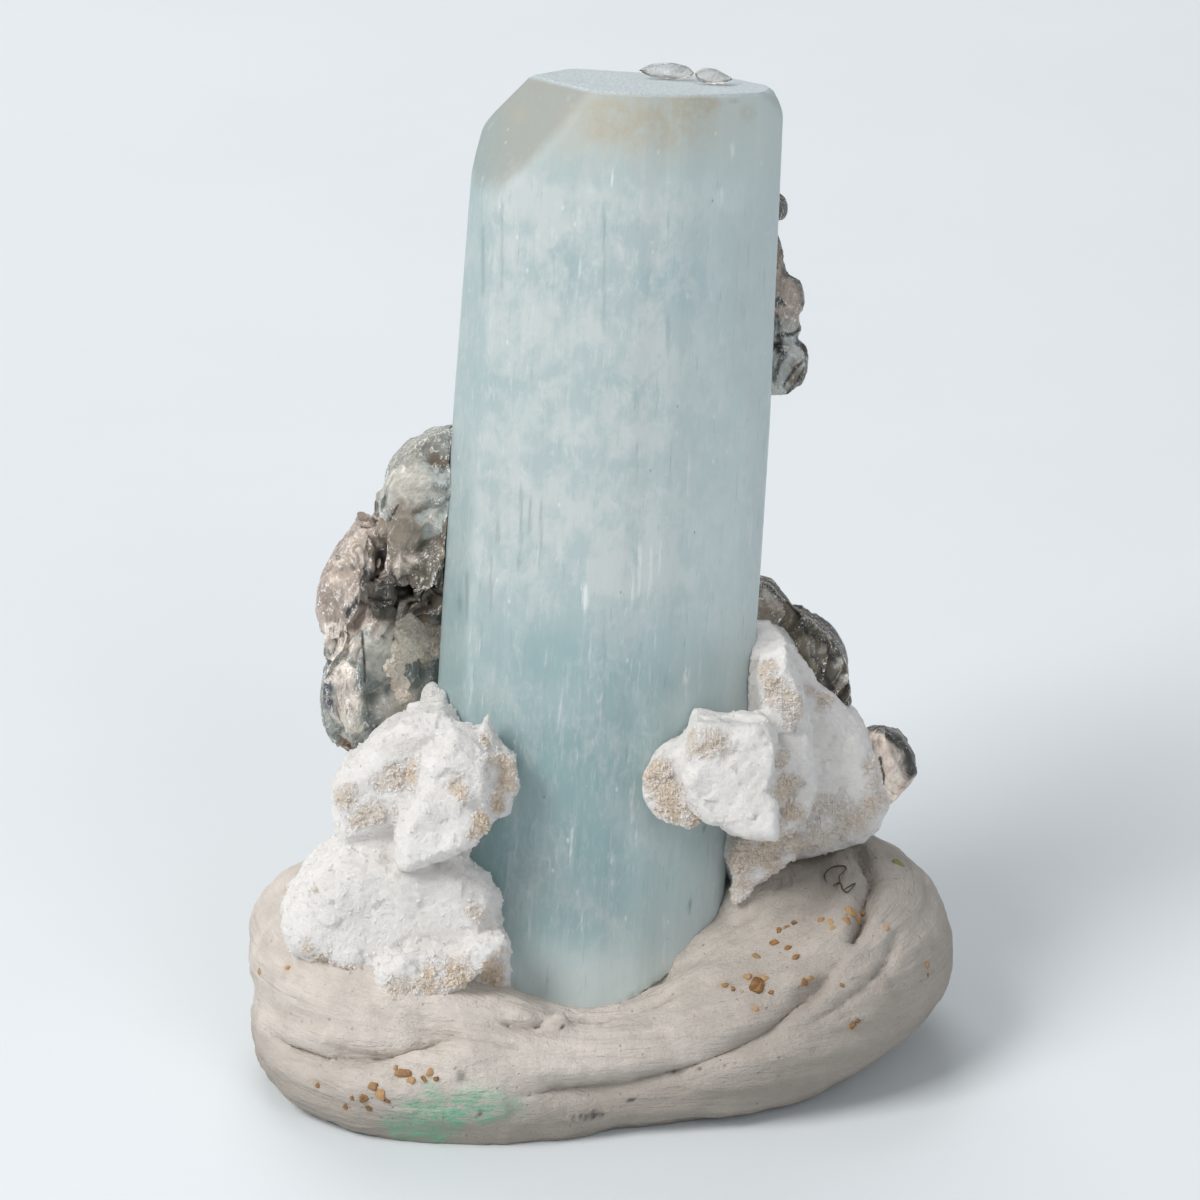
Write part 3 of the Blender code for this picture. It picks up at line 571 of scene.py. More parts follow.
class Nodes:
    """Writes nodes into a tree: each call makes one node, and takes sockets or plain values as its inputs."""

    def __init__(self, tree):
        self.tree = tree

    def add(self, kind, inputs=(), **settings):
        node = self.tree.nodes.new(kind)
        for key, value in settings.items():
            setattr(node, key, value)
        for key, value in dict(inputs).items():
            if isinstance(value, bpy.types.NodeSocket):
                self.tree.links.new(value, node.inputs[key])
            else:
                node.inputs[key].default_value = value
        return node

    def math(self, operation, *values, clamp=False):
        return self.add("ShaderNodeMath", enumerate(values), operation=operation, use_clamp=clamp).outputs[0]

    def times(self, one, two, clamp=False):
        return self.math("MULTIPLY", one, two, clamp=clamp)

    def fused(self, one, two, three, clamp=False):
        """One times two, plus three."""
        return self.math("MULTIPLY_ADD", one, two, three, clamp=clamp)

    def vector(self, x=0.0, y=0.0, z=0.0):
        return self.add("ShaderNodeCombineXYZ", enumerate((x, y, z))).outputs[0]

    def scaled(self, vector, scale):
        return self.add("ShaderNodeVectorMath", {0: vector, 1: scale}, operation="MULTIPLY").outputs[0]

    def attribute(self, name, output="Fac"):
        return self.add("ShaderNodeAttribute", attribute_name=name).outputs[output]

    def noise(self, vector, scale, detail=3.0, rough=0.5, distortion=0.0, rise=None):
        """Noise from 0 to 1. A rise below 1 draws it out along Z."""
        if rise:
            vector = self.scaled(vector, (1.0, 1.0, rise))
        inputs = {"Vector": vector, "Scale": scale, "Detail": detail, "Roughness": rough, "Distortion": distortion}
        return self.add("ShaderNodeTexNoise", inputs).outputs["Fac"]

    def between(self, value, low, high, to_low=0.0, to_high=1.0):
        """Spreads a stretch of values over another one, with a soft start and end."""
        inputs = {0: value, 1: low, 2: high, 3: to_low, 4: to_high}
        return self.add("ShaderNodeMapRange", inputs, interpolation_type="SMOOTHSTEP").outputs[0]

    def mix(self, factor, one, two):
        one, two = ((*colour, 1.0) if isinstance(colour, tuple) else colour for colour in (one, two))
        return self.add("ShaderNodeMix", {0: factor, 6: one, 7: two}, data_type="RGBA").outputs[2]

    def painted(self, body, *coats):
        """A colour under coats of others, each with its mask."""
        for mask, colour in coats:
            body = self.mix(mask, body, colour)
        return body

    def bump(self, height, strength, distance):
        return self.add("ShaderNodeBump", {"Height": height, "Strength": strength, "Distance": distance}).outputs[0]

    def group(self, tree, *values):
        """A node group with values for its inputs, in their order."""
        return self.add("ShaderNodeGroup", enumerate(values), node_tree=tree).outputs

    def plug(self, **sockets):
        """Feeds inputs of the material's shader."""
        for name, socket in sockets.items():
            self.tree.links.new(socket, self.tree.nodes["Principled BSDF"].inputs[name.replace("_", " ")])


def node_group(name, kind, inputs, outputs):
    """Turns a function that lays out a node group into one that gives the group, which is built the first time.

    The inputs are given as label: default, or as label: kind of socket, and the outputs as label: kind of socket.
    """

    def give(lay_out):
        def build():
            if name in bpy.data.node_groups:
                return bpy.data.node_groups[name]
            tree = bpy.data.node_groups.new(name, kind)
            for label, default in inputs.items():
                socket_kind = default if isinstance(default, str) else type(default).__name__.capitalize()
                socket = tree.interface.new_socket(label, in_out="INPUT", socket_type=f"NodeSocket{socket_kind}")
                if socket_kind != default:
                    socket.default_value = default
            for label, socket_kind in outputs.items():
                tree.interface.new_socket(label, in_out="OUTPUT", socket_type=f"NodeSocket{socket_kind}")
            nodes = Nodes(tree)
            nodes.add("NodeGroupOutput", lay_out(nodes, nodes.add("NodeGroupInput").outputs))
            return tree
        return build

    return give


@node_group("speckles", "ShaderNodeTree", {"Vector": "Vector", "Scale": 1.0, "Size": 0.2, "Share": 0.3},
            {"Mask": "Float"})
def speckles(nodes, given):
    """Small scattered specks: Mask is 1 inside a speck. Share says how many of the cells have one."""
    cells = nodes.add("ShaderNodeTexVoronoi", {"Vector": given["Vector"], "Scale": given["Scale"]}).outputs
    inside = nodes.between(cells["Distance"], given["Size"], 0.0)
    dice = nodes.add("ShaderNodeSeparateColor", {"Color": cells["Color"]}).outputs[0]
    return {"Mask": nodes.times(inside, nodes.math("LESS_THAN", dice, given["Share"]))}


@node_group("mineral_grain", "ShaderNodeTree", {"Vector": "Vector", "Scale": 1.0, "Fine Scale": 4.0},
            {"Mottle": "Float", "Relief": "Float"})
def mineral_grain(nodes, given):
    """Mineral grain at two sizes: Mottle for colour, Relief for height."""
    broad = nodes.noise(given["Vector"], given["Scale"], 4.0, 0.6)
    fine = nodes.noise(given["Vector"], given["Fine Scale"], 2.0, 0.6)
    return {"Mottle": nodes.between(broad, 0.35, 0.65), "Relief": nodes.fused(fine, 0.5, broad)}


def new_material(name, roughness, **uniform):
    """A material with a Principled shader, whose plain values are set on its own sockets, and its nodes."""
    material = bpy.data.materials.new(name)
    material.use_nodes = True
    shader = material.node_tree.nodes["Principled BSDF"]
    for key, value in {"Roughness": roughness, "Metallic": 0.0, **uniform}.items():
        shader.inputs[key.replace("_", " ")].default_value = value
    return material, Nodes(material.node_tree)


def darker(colour, share):
    return tuple(value * share for value in colour[:3])


def millimetre_place(nodes):
    """Object coordinates in millimetres."""
    coordinates = nodes.add("ShaderNodeTexCoord").outputs["Object"]
    return nodes.scaled(coordinates, (1 / MM, 1 / MM, 1 / MM))


def specimen_place(nodes):
    """Object coordinates turned into the specimen's own frame, in millimetres."""
    stand = specimen_matrix()
    return nodes.add("ShaderNodeMapping", {
        "Vector": nodes.add("ShaderNodeTexCoord").outputs["Object"],
        "Location": stand.to_translation(),
        "Rotation": Vector(stand.to_euler("XYZ")),
        "Scale": (MM, MM, MM),
    }, vector_type="TEXTURE").outputs[0]


# ---------------------------------------------------------------- small things scattered over a surface


def grow_nodes(obj, tree, **values):
    """Runs a Geometry Nodes tree on an object with these inputs, and keeps the result as its mesh."""
    modifier = obj.modifiers.new(tree.name, "NODES")
    modifier.node_group = tree
    identifiers = {item.name: item.identifier for item in tree.interface.items_tree if item.in_out == "INPUT"}
    for key, value in values.items():
        modifier[identifiers[key]] = value
    apply_modifiers(obj)


def realized(nodes, copies, material):
    """The last nodes of a tree: its copies made real, with their material."""
    real = nodes.add("GeometryNodeRealizeInstances", {0: copies}).outputs[0]
    done = nodes.add("GeometryNodeSetMaterial", {"Geometry": real, "Material": material}).outputs[0]
    return {"Geometry": done}


@node_group("scatter", "GeometryNodeTree", {"Geometry": "Geometry", "Shape": "Object", "Tilt": 0.5, "Flatness": 1.0,
                                            "Seed": 0, "Material": "Material"}, {"Geometry": "Geometry"})
def scatter_tree(nodes, given):
    """Puts a copy of a shape on every point: its attribute outward says which way is up, size how large it is."""
    shape = nodes.add("GeometryNodeObjectInfo", {"Object": given["Shape"]}).outputs["Geometry"]
    outward = nodes.add("GeometryNodeInputNamedAttribute", {"Name": "outward"}, data_type="FLOAT_VECTOR").outputs[0]
    size = nodes.add("GeometryNodeInputNamedAttribute", {"Name": "size"}, data_type="FLOAT").outputs[0]
    aligned = nodes.add("FunctionNodeAlignRotationToVector", {"Vector": outward}, axis="Z").outputs[0]
    back = nodes.times(given["Tilt"], -1.0)

    def random_vector(low, high, seed):
        inputs = {0: low, 1: high, "Seed": seed}
        return nodes.add("FunctionNodeRandomValue", inputs, data_type="FLOAT_VECTOR").outputs[0]

    tilt = random_vector(nodes.vector(back, back), nodes.vector(given["Tilt"], given["Tilt"], math.tau), given["Seed"])
    turned = nodes.add("FunctionNodeRotateRotation", {0: aligned, 1: tilt}, rotation_space="LOCAL").outputs[0]
    stretch = random_vector((0.65, 0.65, 0.65), (1.25, 1.25, 1.25), nodes.math("ADD", given["Seed"], 1.0))
    flat = nodes.vector(size, size, nodes.times(size, given["Flatness"]))
    copies = nodes.add("GeometryNodeInstanceOnPoints", {
        "Points": given["Geometry"], "Instance": shape, "Rotation": turned, "Scale": nodes.scaled(flat, stretch),
    }).outputs[0]
    return realized(nodes, copies, given["Material"])


def chip_mesh(seed, bevel):
    """A rough block of unit size, with its edges taken off where bevel isn't 0."""
    dice = random.Random(seed)
    bm = bmesh.new()
    bmesh.ops.create_cube(bm, size=1.0)
    for vert in bm.verts:
        vert.co += Vector([dice.uniform(-0.16, 0.16) for _ in range(3)])
    if bevel:
        bmesh.ops.bevel(bm, geom=bm.edges, offset=bevel, segments=1, affect="EDGES")
    return mesh_from_bmesh("chip", bm)


def scatter(name, places, outward, sizes, shape, material, **values):
    """One mesh of copies of a shape, one at each place, in metres."""
    mesh = mesh_from(name, places, [])
    store_vectors(mesh, "outward", outward)
    store(mesh, size=sizes)
    obj = new_object(name, mesh)
    pattern = new_object("pattern", shape)
    grow_nodes(obj, scatter_tree(), Shape=pattern, Material=material, **values)
    bpy.data.objects.remove(pattern)
    return obj


def for_copies(obj, values):
    """Values for scattered copies, repeated for each point of their copy."""
    return np.repeat(values, len(obj.data.vertices) // len(values), axis=0)


def scattered_over(mask, count, seed):
    """Indices of points spread over the part of a skin where a mask is set."""
    dice = np.random.default_rng(seed)
    return dice.choice(len(mask), count, replace=False, p=mask / mask.sum())


# ---------------------------------------------------------------- the aquamarine crystal


STRIP_SPACING = 0.165  # between the points round the prism
CUTTER_HEIGHTS = np.array([0.0, 4.0, 8.0, 12.0, 16.4, 17.0, 30.0, 46.4, 60.0, 66.0, 69.0, 71.4])


def smooth_min(one, two, radius):
    near = np.maximum(radius - np.abs(one - two), 0.0) / radius
    return np.minimum(one, two) - near**2 * radius / 4


def prism_outline(spacing, grow=0.0):
    """Points round the prism, evenly spaced, with its long edges rounded."""
    corners = np.array(SECTION) * (CRYSTAL_WIDTH / 2 + grow, CRYSTAL_DEPTH / 2 + grow)
    runs = []
    for start, end in zip(corners, np.roll(corners, -1, axis=0)):
        count = max(2, round(np.linalg.norm(end - start) / spacing))
        runs.append(start + (end - start) * (np.arange(count) / count)[:, None])
    outline = np.concatenate(runs)
    for _ in range(round(2 * (EDGE_BLUR / spacing) ** 2)):
        outline = (np.roll(outline, 1, axis=0) + 2 * outline + np.roll(outline, -1, axis=0)) / 4
    return outline


def striations(heights, count, spacing, settings):
    """How far each strip of the long faces stands out, at every height and every point round the prism."""
    dice = np.random.default_rng(11)
    relief = np.zeros((len(heights), count))
    for widest, depth in ((settings.strip_width / MM, 1.0), (settings.strip_width / MM / 4, 0.45)):
        start = 0
        while start < count:
            end = start + max(1, int(dice.uniform(0.25, 1.0) * widest / spacing))
            breaks = np.sort(dice.uniform(0.0, CRYSTAL_LENGTH, dice.integers(1, 5)))
            steps = dice.uniform(-1.0, 1.0) + dice.uniform(-0.5, 0.5, len(breaks) + 1)
            relief[:, start:end] += (steps[np.digitize(heights, breaks)] * depth)[:, None]
            start = end
    return relief * settings.strip_relief / MM


def plane_limit(points, heights, plane, grow):
    """How far from the axis a plane lets each point of the prism go, along its own direction."""
    point, normal = (Vector(part) for part in plane)
    normal.normalize()
    offset = normal.dot(point) + grow
    radius = np.linalg.norm(points, axis=-1)
    outward = (points[..., 0] * normal.x + points[..., 1] * normal.y) / radius
    room = offset - normal.z * heights[:, None]
    return np.where(outward > 0.02, room / np.maximum(outward, 0.02), 1e3)


def plane_height(points, plane, grow):
    """The height of a nearly level plane above each point."""
    point, normal = (Vector(part) for part in plane)
    normal.normalize()
    offset = normal.dot(point) + grow
    return (offset - points[..., 0] * normal.x - points[..., 1] * normal.y) / normal.z


def crystal_points(heights, spacing, edge_radius, relief=None, grow=0.0):
    """The rings of points up the prism and across its two ends, and the share of each ring that is side."""
    outline = prism_outline(spacing, grow)
    along = np.roll(outline, -1, axis=0) - np.roll(outline, 1, axis=0)
    outward = np.stack([along[:, 1], -along[:, 0]], axis=1)
    outward /= np.linalg.norm(outward, axis=1)[:, None]
    rings = np.repeat(outline[None], len(heights), axis=0)
    if relief is not None:
        rings = rings + outward[None] * relief[:, :, None]
    above = np.clip((heights / CRYSTAL_LENGTH - TAPER_FROM) / (1.02 - TAPER_FROM), 0.0, 1.0)
    rings = rings * (1.0 - above * (1.0 - CRYSTAL_TAPER))[:, None, None]
    set_back = LEDGE_DEPTH * np.clip((LEDGE_TOP - heights) / 0.6, 0.0, 1.0)
    rings[..., 0] -= set_back[:, None] * np.maximum(0.0, rings[..., 0] / CRYSTAL_WIDTH * 2) ** 4
    radius = np.linalg.norm(rings, axis=-1)
    reach = radius
    for plane, rounding in CORNER_PLANES:
        reach = smooth_min(reach, plane_limit(rings, heights, plane, grow), rounding)
    top_gap = np.clip(1.0 - (heights[-1] - heights) / edge_radius, 0.0, 1.0)
    reach = reach - (edge_radius * (1 - np.sqrt(1 - top_gap**2)))[:, None]
    rings = rings * (reach / radius)[..., None]
    share = (heights / CRYSTAL_LENGTH)[:, None]
    z = heights[:, None] + share**12 * (plane_height(rings, TOP_PLANE, grow) - CRYSTAL_LENGTH)
    foot = plane_height(rings, FOOT_PLANE, grow)
    z = z + (1 - share) ** 6 * np.maximum(foot, -grow)
    return np.concatenate([rings, z[..., None]], axis=-1)


def ring_faces(rings, count):
    """Quads between rings of points, and a fan to one pole point at each end."""
    faces = []
    for ring in range(rings - 1):
        low, high = ring * count, (ring + 1) * count
        faces += [(low + i, low + (i + 1) % count, high + (i + 1) % count, high + i) for i in range(count)]
    bottom, top = rings * count, rings * count + 1
    last = (rings - 1) * count
    faces += [(bottom, (i + 1) % count, i) for i in range(count)]
    faces += [(last + i, last + (i + 1) % count, top) for i in range(count)]
    return faces


def crystal_mesh(name, settings, grow=0.0):
    """The prism as one closed mesh. With grow it is the plain, coarser cutter that clears its neighbours."""
    if grow:
        spacing, heights, relief = 1.0, CUTTER_HEIGHTS, None
    else:
        spacing = STRIP_SPACING
        heights = np.concatenate([np.arange(0.0, 58.0, 0.52), np.linspace(58.0, CRYSTAL_LENGTH, 52)])
        relief = striations(heights, len(prism_outline(spacing)), spacing, settings)
    sides = crystal_points(heights, spacing, settings.edge_radius / MM, relief, grow)
    insets = np.array([]) if grow else 1.0 - np.linspace(0.012, 1.0, 22)[:-1]
    top = [sides[-1] * (inset, inset, 1.0) for inset in insets]
    bottom = [sides[0] * (inset, inset, 1.0) for inset in insets[::3]]
    for ring in top:
        ring[:, 2] = plane_height(ring[:, :2], TOP_PLANE, grow)
    for ring in bottom:
        ring[:, 2] = np.maximum(plane_height(ring[:, :2], FOOT_PLANE, grow), -grow)
    rings = np.concatenate([np.array(bottom[::-1]).reshape(-1, *sides[0].shape), sides,
                            np.array(top).reshape(-1, *sides[0].shape)])
    foot_pole = [0.0, 0.0, max(plane_height(np.zeros(2), FOOT_PLANE, grow), -grow)]
    top_pole = [0.0, 0.0, plane_height(np.zeros(2), TOP_PLANE, grow)]
    local = np.concatenate([rings.reshape(-1, 3), [foot_pole, top_pole]])
    faces = ring_faces(len(rings), rings.shape[1])
    mesh = mesh_from(name, place_points(local, specimen_matrix()), faces)
    return mesh, local


def crystal_cutter():
    """A plain copy of the crystal, a little larger, that other pieces are cut clear with."""
    name = "crystal_clearance"
    if name in bpy.data.objects:
        return bpy.data.objects[name]
    mesh, _ = crystal_mesh(name, bpy.context.scene.specimen_crystal, CLEARANCE)
    cutter = new_object(name, mesh)
    cutter.hide_render = True
    cutter.display_type = "WIRE"
    return cutter


# Soft patches inside the crystal: column, row, half width, half height, strength.
MILKY_PATCHES = [
    (560, 205, 80, 26, 0.8), (690, 200, 60, 30, 0.7), (500, 190, 40, 26, 0.6), (600, 330, 120, 26, 0.75),
    (520, 320, 50, 40, 0.5), (700, 360, 60, 30, 0.5), (600, 430, 110, 26, 0.6), (560, 500, 120, 40, 0.8),
    (690, 520, 70, 40, 0.8), (640, 575, 90, 26, 0.9), (500, 575, 50, 24, 0.5), (700, 620, 50, 22, 0.6),
    (690, 700, 40, 26, 0.35), (690, 930, 36, 50, 0.6), (640, 975, 80, 26, 0.7), (540, 960, 30, 40, 0.4),
    (470, 620, 22, 60, 0.4), (740, 640, 22, 60, 0.5),
]
CLEAR_PATCHES = [
    (570, 270, 44, 34, 0.7), (680, 285, 50, 30, 0.7), (490, 385, 36, 30, 0.5), (640, 390, 70, 22, 0.45),
    (560, 660, 80, 40, 0.6), (640, 680, 60, 30, 0.6), (590, 760, 110, 50, 0.9), (600, 860, 110, 60, 0.95),
    (500, 860, 40, 60, 0.8), (690, 850, 30, 30, 0.6), (682, 608, 16, 16, 0.8), (560, 940, 60, 30, 0.6),
]
STAIN_PATCHES = [
    (650, 122, 110, 34, 0.4), (640, 112, 62, 24, 0.9), (690, 104, 40, 13, 0.8), (734, 101, 8, 4, 1.6),
    (606, 126, 30, 22, 0.8), (520, 115, 10, 12, 0.5), (650, 136, 44, 24, 0.5), (748, 112, 12, 12, 0.5),
    (550, 82, 3, 3, 1.2), (572, 105, 3, 3, 1.2),
]
# Hairlines, which run up the crystal: column, first row, last row, half width, strength.
DARK_LINES = [
    (604, 210, 330, 1.2, 0.6), (604, 610, 720, 1.2, 0.5), (483, 230, 290, 1.6, 0.8), (502, 205, 290, 1.2, 0.7),
    (668, 320, 350, 2.0, 0.7), (521, 490, 545, 1.4, 0.9), (530, 505, 530, 1.4, 0.9), (541, 505, 545, 1.2, 0.8),
    (491, 560, 605, 1.2, 0.8), (467, 575, 615, 1.4, 0.9), (498, 528, 538, 2.0, 0.8), (460, 600, 606, 2.5, 0.9),
    (519, 559, 565, 2.0, 0.8), (626, 750, 758, 1.2, 1.0), (704, 824, 828, 1.6, 1.5), (690, 903, 907, 1.6, 1.5),
]
BRIGHT_LINES = [
    (638, 255, 280, 1.6, 0.9), (580, 258, 272, 1.4, 0.8), (688, 440, 495, 1.4, 0.9), (750, 500, 550, 2.0, 0.8),
    (640, 540, 590, 2.0, 1.0), (650, 550, 585, 1.6, 1.0), (632, 560, 600, 1.6, 0.9), (660, 545, 570, 1.2, 0.9),
    (632, 790, 820, 1.6, 0.9), (612, 860, 880, 2.0, 1.0), (572, 830, 850, 1.6, 0.9), (664, 920, 960, 1.6, 0.8),
    (530, 890, 935, 1.6, 0.7), (583, 918, 932, 1.6, 0.8), (721, 193, 201, 2.4, 1.4), (732, 145, 151, 2.0, 1.2),
    (612, 176, 181, 2.0, 1.2), (686, 671, 680, 2.0, 1.0), (560, 700, 740, 1.2, 0.6), (545, 610, 660, 1.2, 0.6),
    (700, 640, 690, 1.4, 0.6), (590, 640, 690, 1.0, 0.6), (470, 640, 700, 1.6, 0.5), (655, 600, 640, 1.2, 0.7),
    (583, 590, 606, 4.5, 1.6), (686, 668, 678, 3.5, 1.4),
]


def patch_mask(local, tree, patches, ragged):
    """Soft patches that reach through the whole depth of the crystal."""
    stand = specimen_matrix().inverted()
    mask = np.zeros(len(local))
    for column, row, wide, high, strength in patches:
        centre = stand @ front_hit(tree, column, row)[0]
        across = (local[:, 0] - centre.x) / (wide * VIEW_POINT)
        up = (local[:, 2] - centre.z) / (high * VIEW_POINT)
        mask = mask + strength * np.clip(1.25 * (1.0 - np.hypot(across, up) ** 1.5 + ragged), 0.0, 1.0)
    return np.clip(mask, 0.0, 1.0)


def line_mask(local, tree, lines):
    """Thin lines on the front faces."""
    stand = specimen_matrix().inverted()
    mask = np.zeros(len(local))
    for column, first, last, half, strength in lines:
        top, low = (stand @ front_hit(tree, column, row)[0] for row in (first, last))
        run = np.clip((local[:, 2] - low.z) / max(top.z - low.z, 0.1), 0.0, 1.0)
        across = np.abs(local[:, 0] - (low.x + (top.x - low.x) * run)) / (half * VIEW_POINT)
        beyond = np.maximum(0.0, np.maximum(local[:, 2] - top.z, low.z - local[:, 2])) / 0.5
        front = np.abs(local[:, 1] - low.y) < 2.0
        mask = np.maximum(mask, strength * front * np.clip(1.5 - across - beyond, 0.0, 1.0))
    return mask


def near_plane(local, plane, reach):
    """A mask of the points that lie on a plane, which fades out over a reach."""
    point, normal = (np.array(part) for part in plane)
    distance = np.abs((local - point) @ (normal / np.linalg.norm(normal)))
    return np.clip(1.25 - distance / reach, 0.0, 1.0)


def crystal_material(settings):
    """Milky beryl: see-through in part, with cloudy bands, growth lines and a frosted top."""
    material, nodes = new_material("milky_beryl", 0.3, Transmission_Weight=settings.transmission, IOR=1.577)
    between, times, fused, attribute = nodes.between, nodes.times, nodes.fused, nodes.attribute
    place = specimen_place(nodes)
    across, _, up = nodes.add("ShaderNodeSeparateXYZ", {0: place}).outputs
    frost, facet = attribute("frost"), attribute("facet")
    clouds = nodes.noise(place, 0.17, 5.0, 0.6, 0.6, rise=0.9)
    cotton = nodes.noise(place, 0.5, 8.0, 0.66, 0.3, rise=0.75)
    wisps = nodes.noise(place, 1.5, 6.0, 0.74, 0.5, rise=0.5)
    streaks = nodes.noise(place, 1.6, 6.0, 0.7, rise=0.05)
    dashes = nodes.noise(place, 3.0, 4.0, 0.6, rise=0.14)
    silk = nodes.noise(place, 4.5, 4.0, 0.7, rise=0.07)
    snow = nodes.noise(place, 1.0, 7.0, 0.75, 1.0, rise=0.4)
    mottle = nodes.noise(place, 0.9, 8.0, 0.7)
    sugar = nodes.noise(place, 5.0, 3.0, 0.7)
    # where the milky cloud is thick, where the clearer blue shows, and where the tip's own colour starts
    uneven_height = fused(cotton, 7.0, up)
    cap = between(uneven_height, 66.0, 71.0)
    side = nodes.math("SUBTRACT", 1.0, nodes.math("MAXIMUM", frost, nodes.math("MAXIMUM", facet, times(cap, 0.85))))
    cloudy = times(between(up, 29.0, 37.0), between(up, 68.5, 63.0))
    veil = fused(attribute("milk"), 0.7, between(clouds, 0.3, 0.7, -0.3, 0.3))
    veil = fused(cloudy, between(cotton, 0.36, 0.62, -0.3, 0.7), veil)
    veil = fused(between(wisps, 0.4, 0.66, -0.14, 0.4), 0.8, veil)
    veil = nodes.math("ADD", veil, between(streaks, 0.38, 0.68, -0.06, 0.1), clamp=True)
    blue = times(between(fused(cotton, 10.0, fused(clouds, 10.0, up)), 48.0, 34.0), 0.6)
    blue = fused(attribute("clear"), 0.5, blue, clamp=True)
    tip = nodes.math("MAXIMUM", facet, between(uneven_height, 67.0, 72.0))
    body = nodes.painted(
        [milky * 0.55 + clear * 0.45 for milky, clear in zip(settings.milky, settings.clear)],
        (blue, settings.clear),  # the clearer depths
        (tip, settings.tip),
        (times(facet, 0.8), darker(settings.tip, 0.66)),
        (times(veil, fused(tip, -0.75, 0.92)), settings.milky),
    )
    # painted light on the lower right of the prism, which the key light leaves too dark
    painted_light_right = times(between(across, 1.0, 9.0), between(up, 36.0, 16.0, 0.6, 0.9))
    dash = times(between(dashes, 0.60, 0.74), between(clouds, 0.35, 0.6, 0.2, 0.75))
    squat = nodes.scaled(place, (1.0, 1.0, 0.6))
    # painted glints: tiny white specks
    painted_glint_specks = nodes.group(speckles(), squat, 0.9, 0.16, 0.30)["Mask"]
    dark_specks = nodes.group(speckles(), squat, 0.6, 0.07, 0.22)["Mask"]
    icing = nodes.mix(between(sugar, 0.4, 0.62), (0.56, 0.65, 0.70), (0.84, 0.89, 0.91))
    body = nodes.painted(
        body,
        (painted_light_right, nodes.mix(0.6, body, (0.86, 1.0, 1.0))),
        (between(up, 10.0, 3.5, 0.0, 0.95), (0.84, 0.94, 0.92)),  # paler towards the foot: partly its milky colour, partly painted light against the shade from the putty
        (between(across, -8.4, -10.4, 0.0, 0.35), settings.clear),  # along the left edge
        (between(across, 8.4, 10.4, 0.0, 0.45), (0.80, 0.88, 0.88)),  # painted light along the right edge
        (times(attribute("stain"), between(mottle, 0.34, 0.66, 0.1, 1.0)), settings.stain),
        (times(cap, between(mottle, 0.44, 0.30, 0.0, 0.35)), (0.66, 0.70, 0.68)),
        (times(between(wisps, 0.56, 0.7), times(cloudy, 0.45)), (0.84, 0.88, 0.88)),  # threads in the cloud
        (times(between(silk, 0.42, 0.26, 0.0, 0.5), side), darker(settings.clear, 0.82)),  # and up the side faces
        (times(between(silk, 0.55, 0.74, 0.0, 0.5), side), settings.milky),
        (times(between(snow, 0.56, 0.70, 0.0, 0.6), side), settings.milky),
        (times(dash, side), (0.84, 0.90, 0.90)),
        (attribute("line_dark"), (0.16, 0.24, 0.26)),
        (times(attribute("line_bright"), between(dashes, 0.4, 0.6)), (0.92, 0.95, 0.94)),
        # painted glints
        (times(painted_glint_specks, 0.75), (0.95, 0.97, 0.97)),
        (times(dark_specks, 0.75), (0.14, 0.16, 0.15)),
        (times(frost, 0.92), icing),
    )
    grain = nodes.group(mineral_grain(), place, 2.0, 9.0)
    lines = fused(dashes, 0.10, times(streaks, 0.35))
    height = fused(times(wisps, 0.25), side, times(lines, side))
    height = fused(grain["Relief"], fused(frost, 0.9, 0.12), height)
    nodes.plug(
        Base_Color=body, Normal=nodes.bump(height, 0.3, 0.1 * MM),
        Roughness=fused(nodes.math("MAXIMUM", frost, tip), 0.3, between(wisps, 0.3, 0.7, 0.28, 0.44)),
    )
    tint = nodes.add("ShaderNodeVolumeAbsorption", {"Color": (0.62, 0.84, 0.88, 1.0), "Density": 45.0})
    nodes.tree.links.new(tint.outputs[0], nodes.tree.nodes["Material Output"].inputs["Volume"])
    return material


class SPECIMEN_OT_crystal(bpy.types.Operator):
    """Builds the aquamarine prism with its growth lines, end faces and clouds"""

    bl_idname = "specimen.crystal"
    bl_label = "Aquamarine crystal"

    def execute(self, context):
        settings = context.scene.specimen_crystal
        mesh, local = crystal_mesh("aquamarine", settings)
        obj = new_object("aquamarine", mesh)
        tree = tree_of(obj)
        ragged = rough_values(local * MM * (1.0, 1.0, 0.5), 5.0, 3) * 0.45
        front_side = local[:, 1] < 3.0
        store(
            mesh,
            milk=patch_mask(local, tree, MILKY_PATCHES, ragged),
            clear=patch_mask(local, tree, CLEAR_PATCHES, -ragged),
            stain=patch_mask(local, tree, STAIN_PATCHES, ragged) * front_side,
            line_dark=line_mask(local, tree, DARK_LINES) * 0.42,
            line_bright=line_mask(local, tree, BRIGHT_LINES),
            frost=near_plane(local, TOP_PLANE, 0.14),
            facet=np.max([near_plane(local, plane, 0.5) for plane, _ in CORNER_PLANES[:3]], axis=0),
        )
        finish_piece(obj, "aquamarine_crystal", crystal_material(settings), sharp=35)
        return {"FINISHED"}


# ---------------------------------------------------------------- albite


